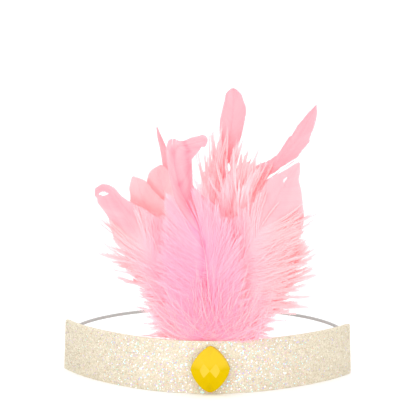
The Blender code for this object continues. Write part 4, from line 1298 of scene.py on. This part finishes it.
def make_feather(feather, material, draw):
    """One feather: a quill and spine, loose down below and a smooth blade above."""
    spine_rows = plume_place(np.array(feather.spine, float))
    spine = smooth_curve(spine_rows, SPINE_STEPS)
    parts = [feather_stem(feather, spine, spine_rows)]
    if feather.layer == 0:
        parts.append(tuft_barbs(feather, draw, TUFT_BARBS))
    for side, rows in ((-1, feather.left), (1, feather.right)):
        vane = Vane(feather, spine, edge_curve(rows, feather), side)
        parts.append(down_barbs(vane, draw, DOWN_BARBS[feather.name]))
        if feather.blade < 1:
            rows = NARROW_BLADES.get((feather.name, side), rows)
            parts.append(blade_barbs(vane._replace(edge=edge_curve(rows, feather)), draw, BLADE_BARBS))
    points, faces, look = joined(parts)
    points, faces = open_up(points, faces)
    mesh = mesh_from(feather.name, points, faces, [("dye_and_painted_light", look[:, :4])])
    mesh.shade_smooth()
    mesh.normals_split_custom_set_from_vertices(look[:, 4:])
    add_piece(feather.name + "_barbs", mesh, material, "feather", feather.name)


def seen_places(places, depth):
    """Where places appear to lie, in (x, z), at a depth as seen from SEEN_FROM."""
    scale = (depth - SEEN_FROM[1]) / (places[:, 1:2] - SEEN_FROM[1])
    return np.array(SEEN_FROM)[[0, 2]] * (1 - scale) + places[:, (0, 2)] * scale


def in_opening(opening, places):
    """Which places an opening holds, and the shifts in (x, z) that would move these ones to its rim."""
    low, high = plume_place(np.array([opening.low, opening.high]))
    line = high - low
    layer = next(feather.layer for feather in FEATHERS if feather.name == opening.feather)
    seen = seen_places(places, layer_depth(layer, *(low + high) / 2))
    share = np.clip((seen - low) @ line / (line @ line), 0, 1)
    away = seen - low - share[:, None] * line
    distance = np.linalg.norm(away, axis=1)
    radius = opening.width / 2 * (0.35 + 0.65 * np.sin(pi * share))
    inside = distance < radius
    return inside, away[inside] * (radius[inside] / (distance[inside] + TINY) - 1)[:, None]


def open_up(points, faces):
    """Points moved out of the plume's openings, and the faces without those that cross one."""
    for opening in OPENINGS:
        corners = points[faces]
        starts, ends = corners[:, :2].mean(axis=1), corners[:, 2:].mean(axis=1)
        crossed = np.zeros(len(faces), bool)
        for share in OPENING_SAMPLES:
            crossed |= in_opening(opening, starts + (ends - starts) * share)[0]
        inside, push = in_opening(opening, points)
        points[np.ix_(inside, (0, 2))] += push
        faces = faces[~crossed]
    return points, faces


def feather_material():
    """Dyed feather: matt, with light shining through."""
    material, tree, shader = new_material("dyed_feather", (1.0, 0.5, 0.6), 0.8, Specular_IOR_Level=0.04)
    dye_and_painted_light = add_node(tree, "ShaderNodeAttribute", attribute_name="dye_and_painted_light").outputs["Color"]
    tree.links.new(dye_and_painted_light, shader.inputs["Base Color"])
    through = add_node(tree, "ShaderNodeBsdfTranslucent", {"Color": dye_and_painted_light})
    both = add_node(tree, "ShaderNodeMixShader", {
        "Fac": FEATHER_THROUGH, 1: shader.outputs["BSDF"], 2: through.outputs["BSDF"],
    })
    tree.links.new(both.outputs["Shader"], tree.nodes["Material Output"].inputs["Surface"])
    return material


# The studio

def make_studio():
    scene = bpy.context.scene
    scene.world = bpy.data.worlds.new("studio")
    scene.world.use_nodes = True
    background = scene.world.node_tree.nodes["Background"]
    background.inputs["Color"].default_value = (1, 1, 1, 1)
    background.inputs["Strength"].default_value = WORLD_LIGHT
    for name, place, power, size in LAMPS:
        lamp = add_object(name, bpy.data.lights.new(name, "AREA"))
        lamp.data.energy = power
        lamp.data.size = size
        lamp.location = place
        lamp.rotation_euler = (Vector(LAMPS_AIM) - Vector(place)).to_track_quat("-Z", "Y").to_euler()
    floor = bpy.data.meshes.new("floor")
    floor.from_pydata([(-4, -4, 0), (4, -4, 0), (4, 4, 0), (-4, 4, 0)], [], [(0, 1, 2, 3)])
    floor.materials.append(new_material("pale_floor", (0.94, 0.94, 0.94), 0.9)[0])
    ground = add_object("floor", floor)
    scene.view_settings.view_transform = "Standard"
    scene.cycles.diffuse_bounces = LIGHT_BOUNCES
    scene.cycles.transmission_bounces = LIGHT_BOUNCES
    scene.cycles.max_bounces = LIGHT_BOUNCES


make_camera()
make_elastic()
make_band()
make_flakes()
make_jewel()
make_patch()
PINK = feather_material()
for number, feather in enumerate(FEATHERS):
    make_feather(feather, PINK, np.random.default_rng(100 + number))
make_studio()
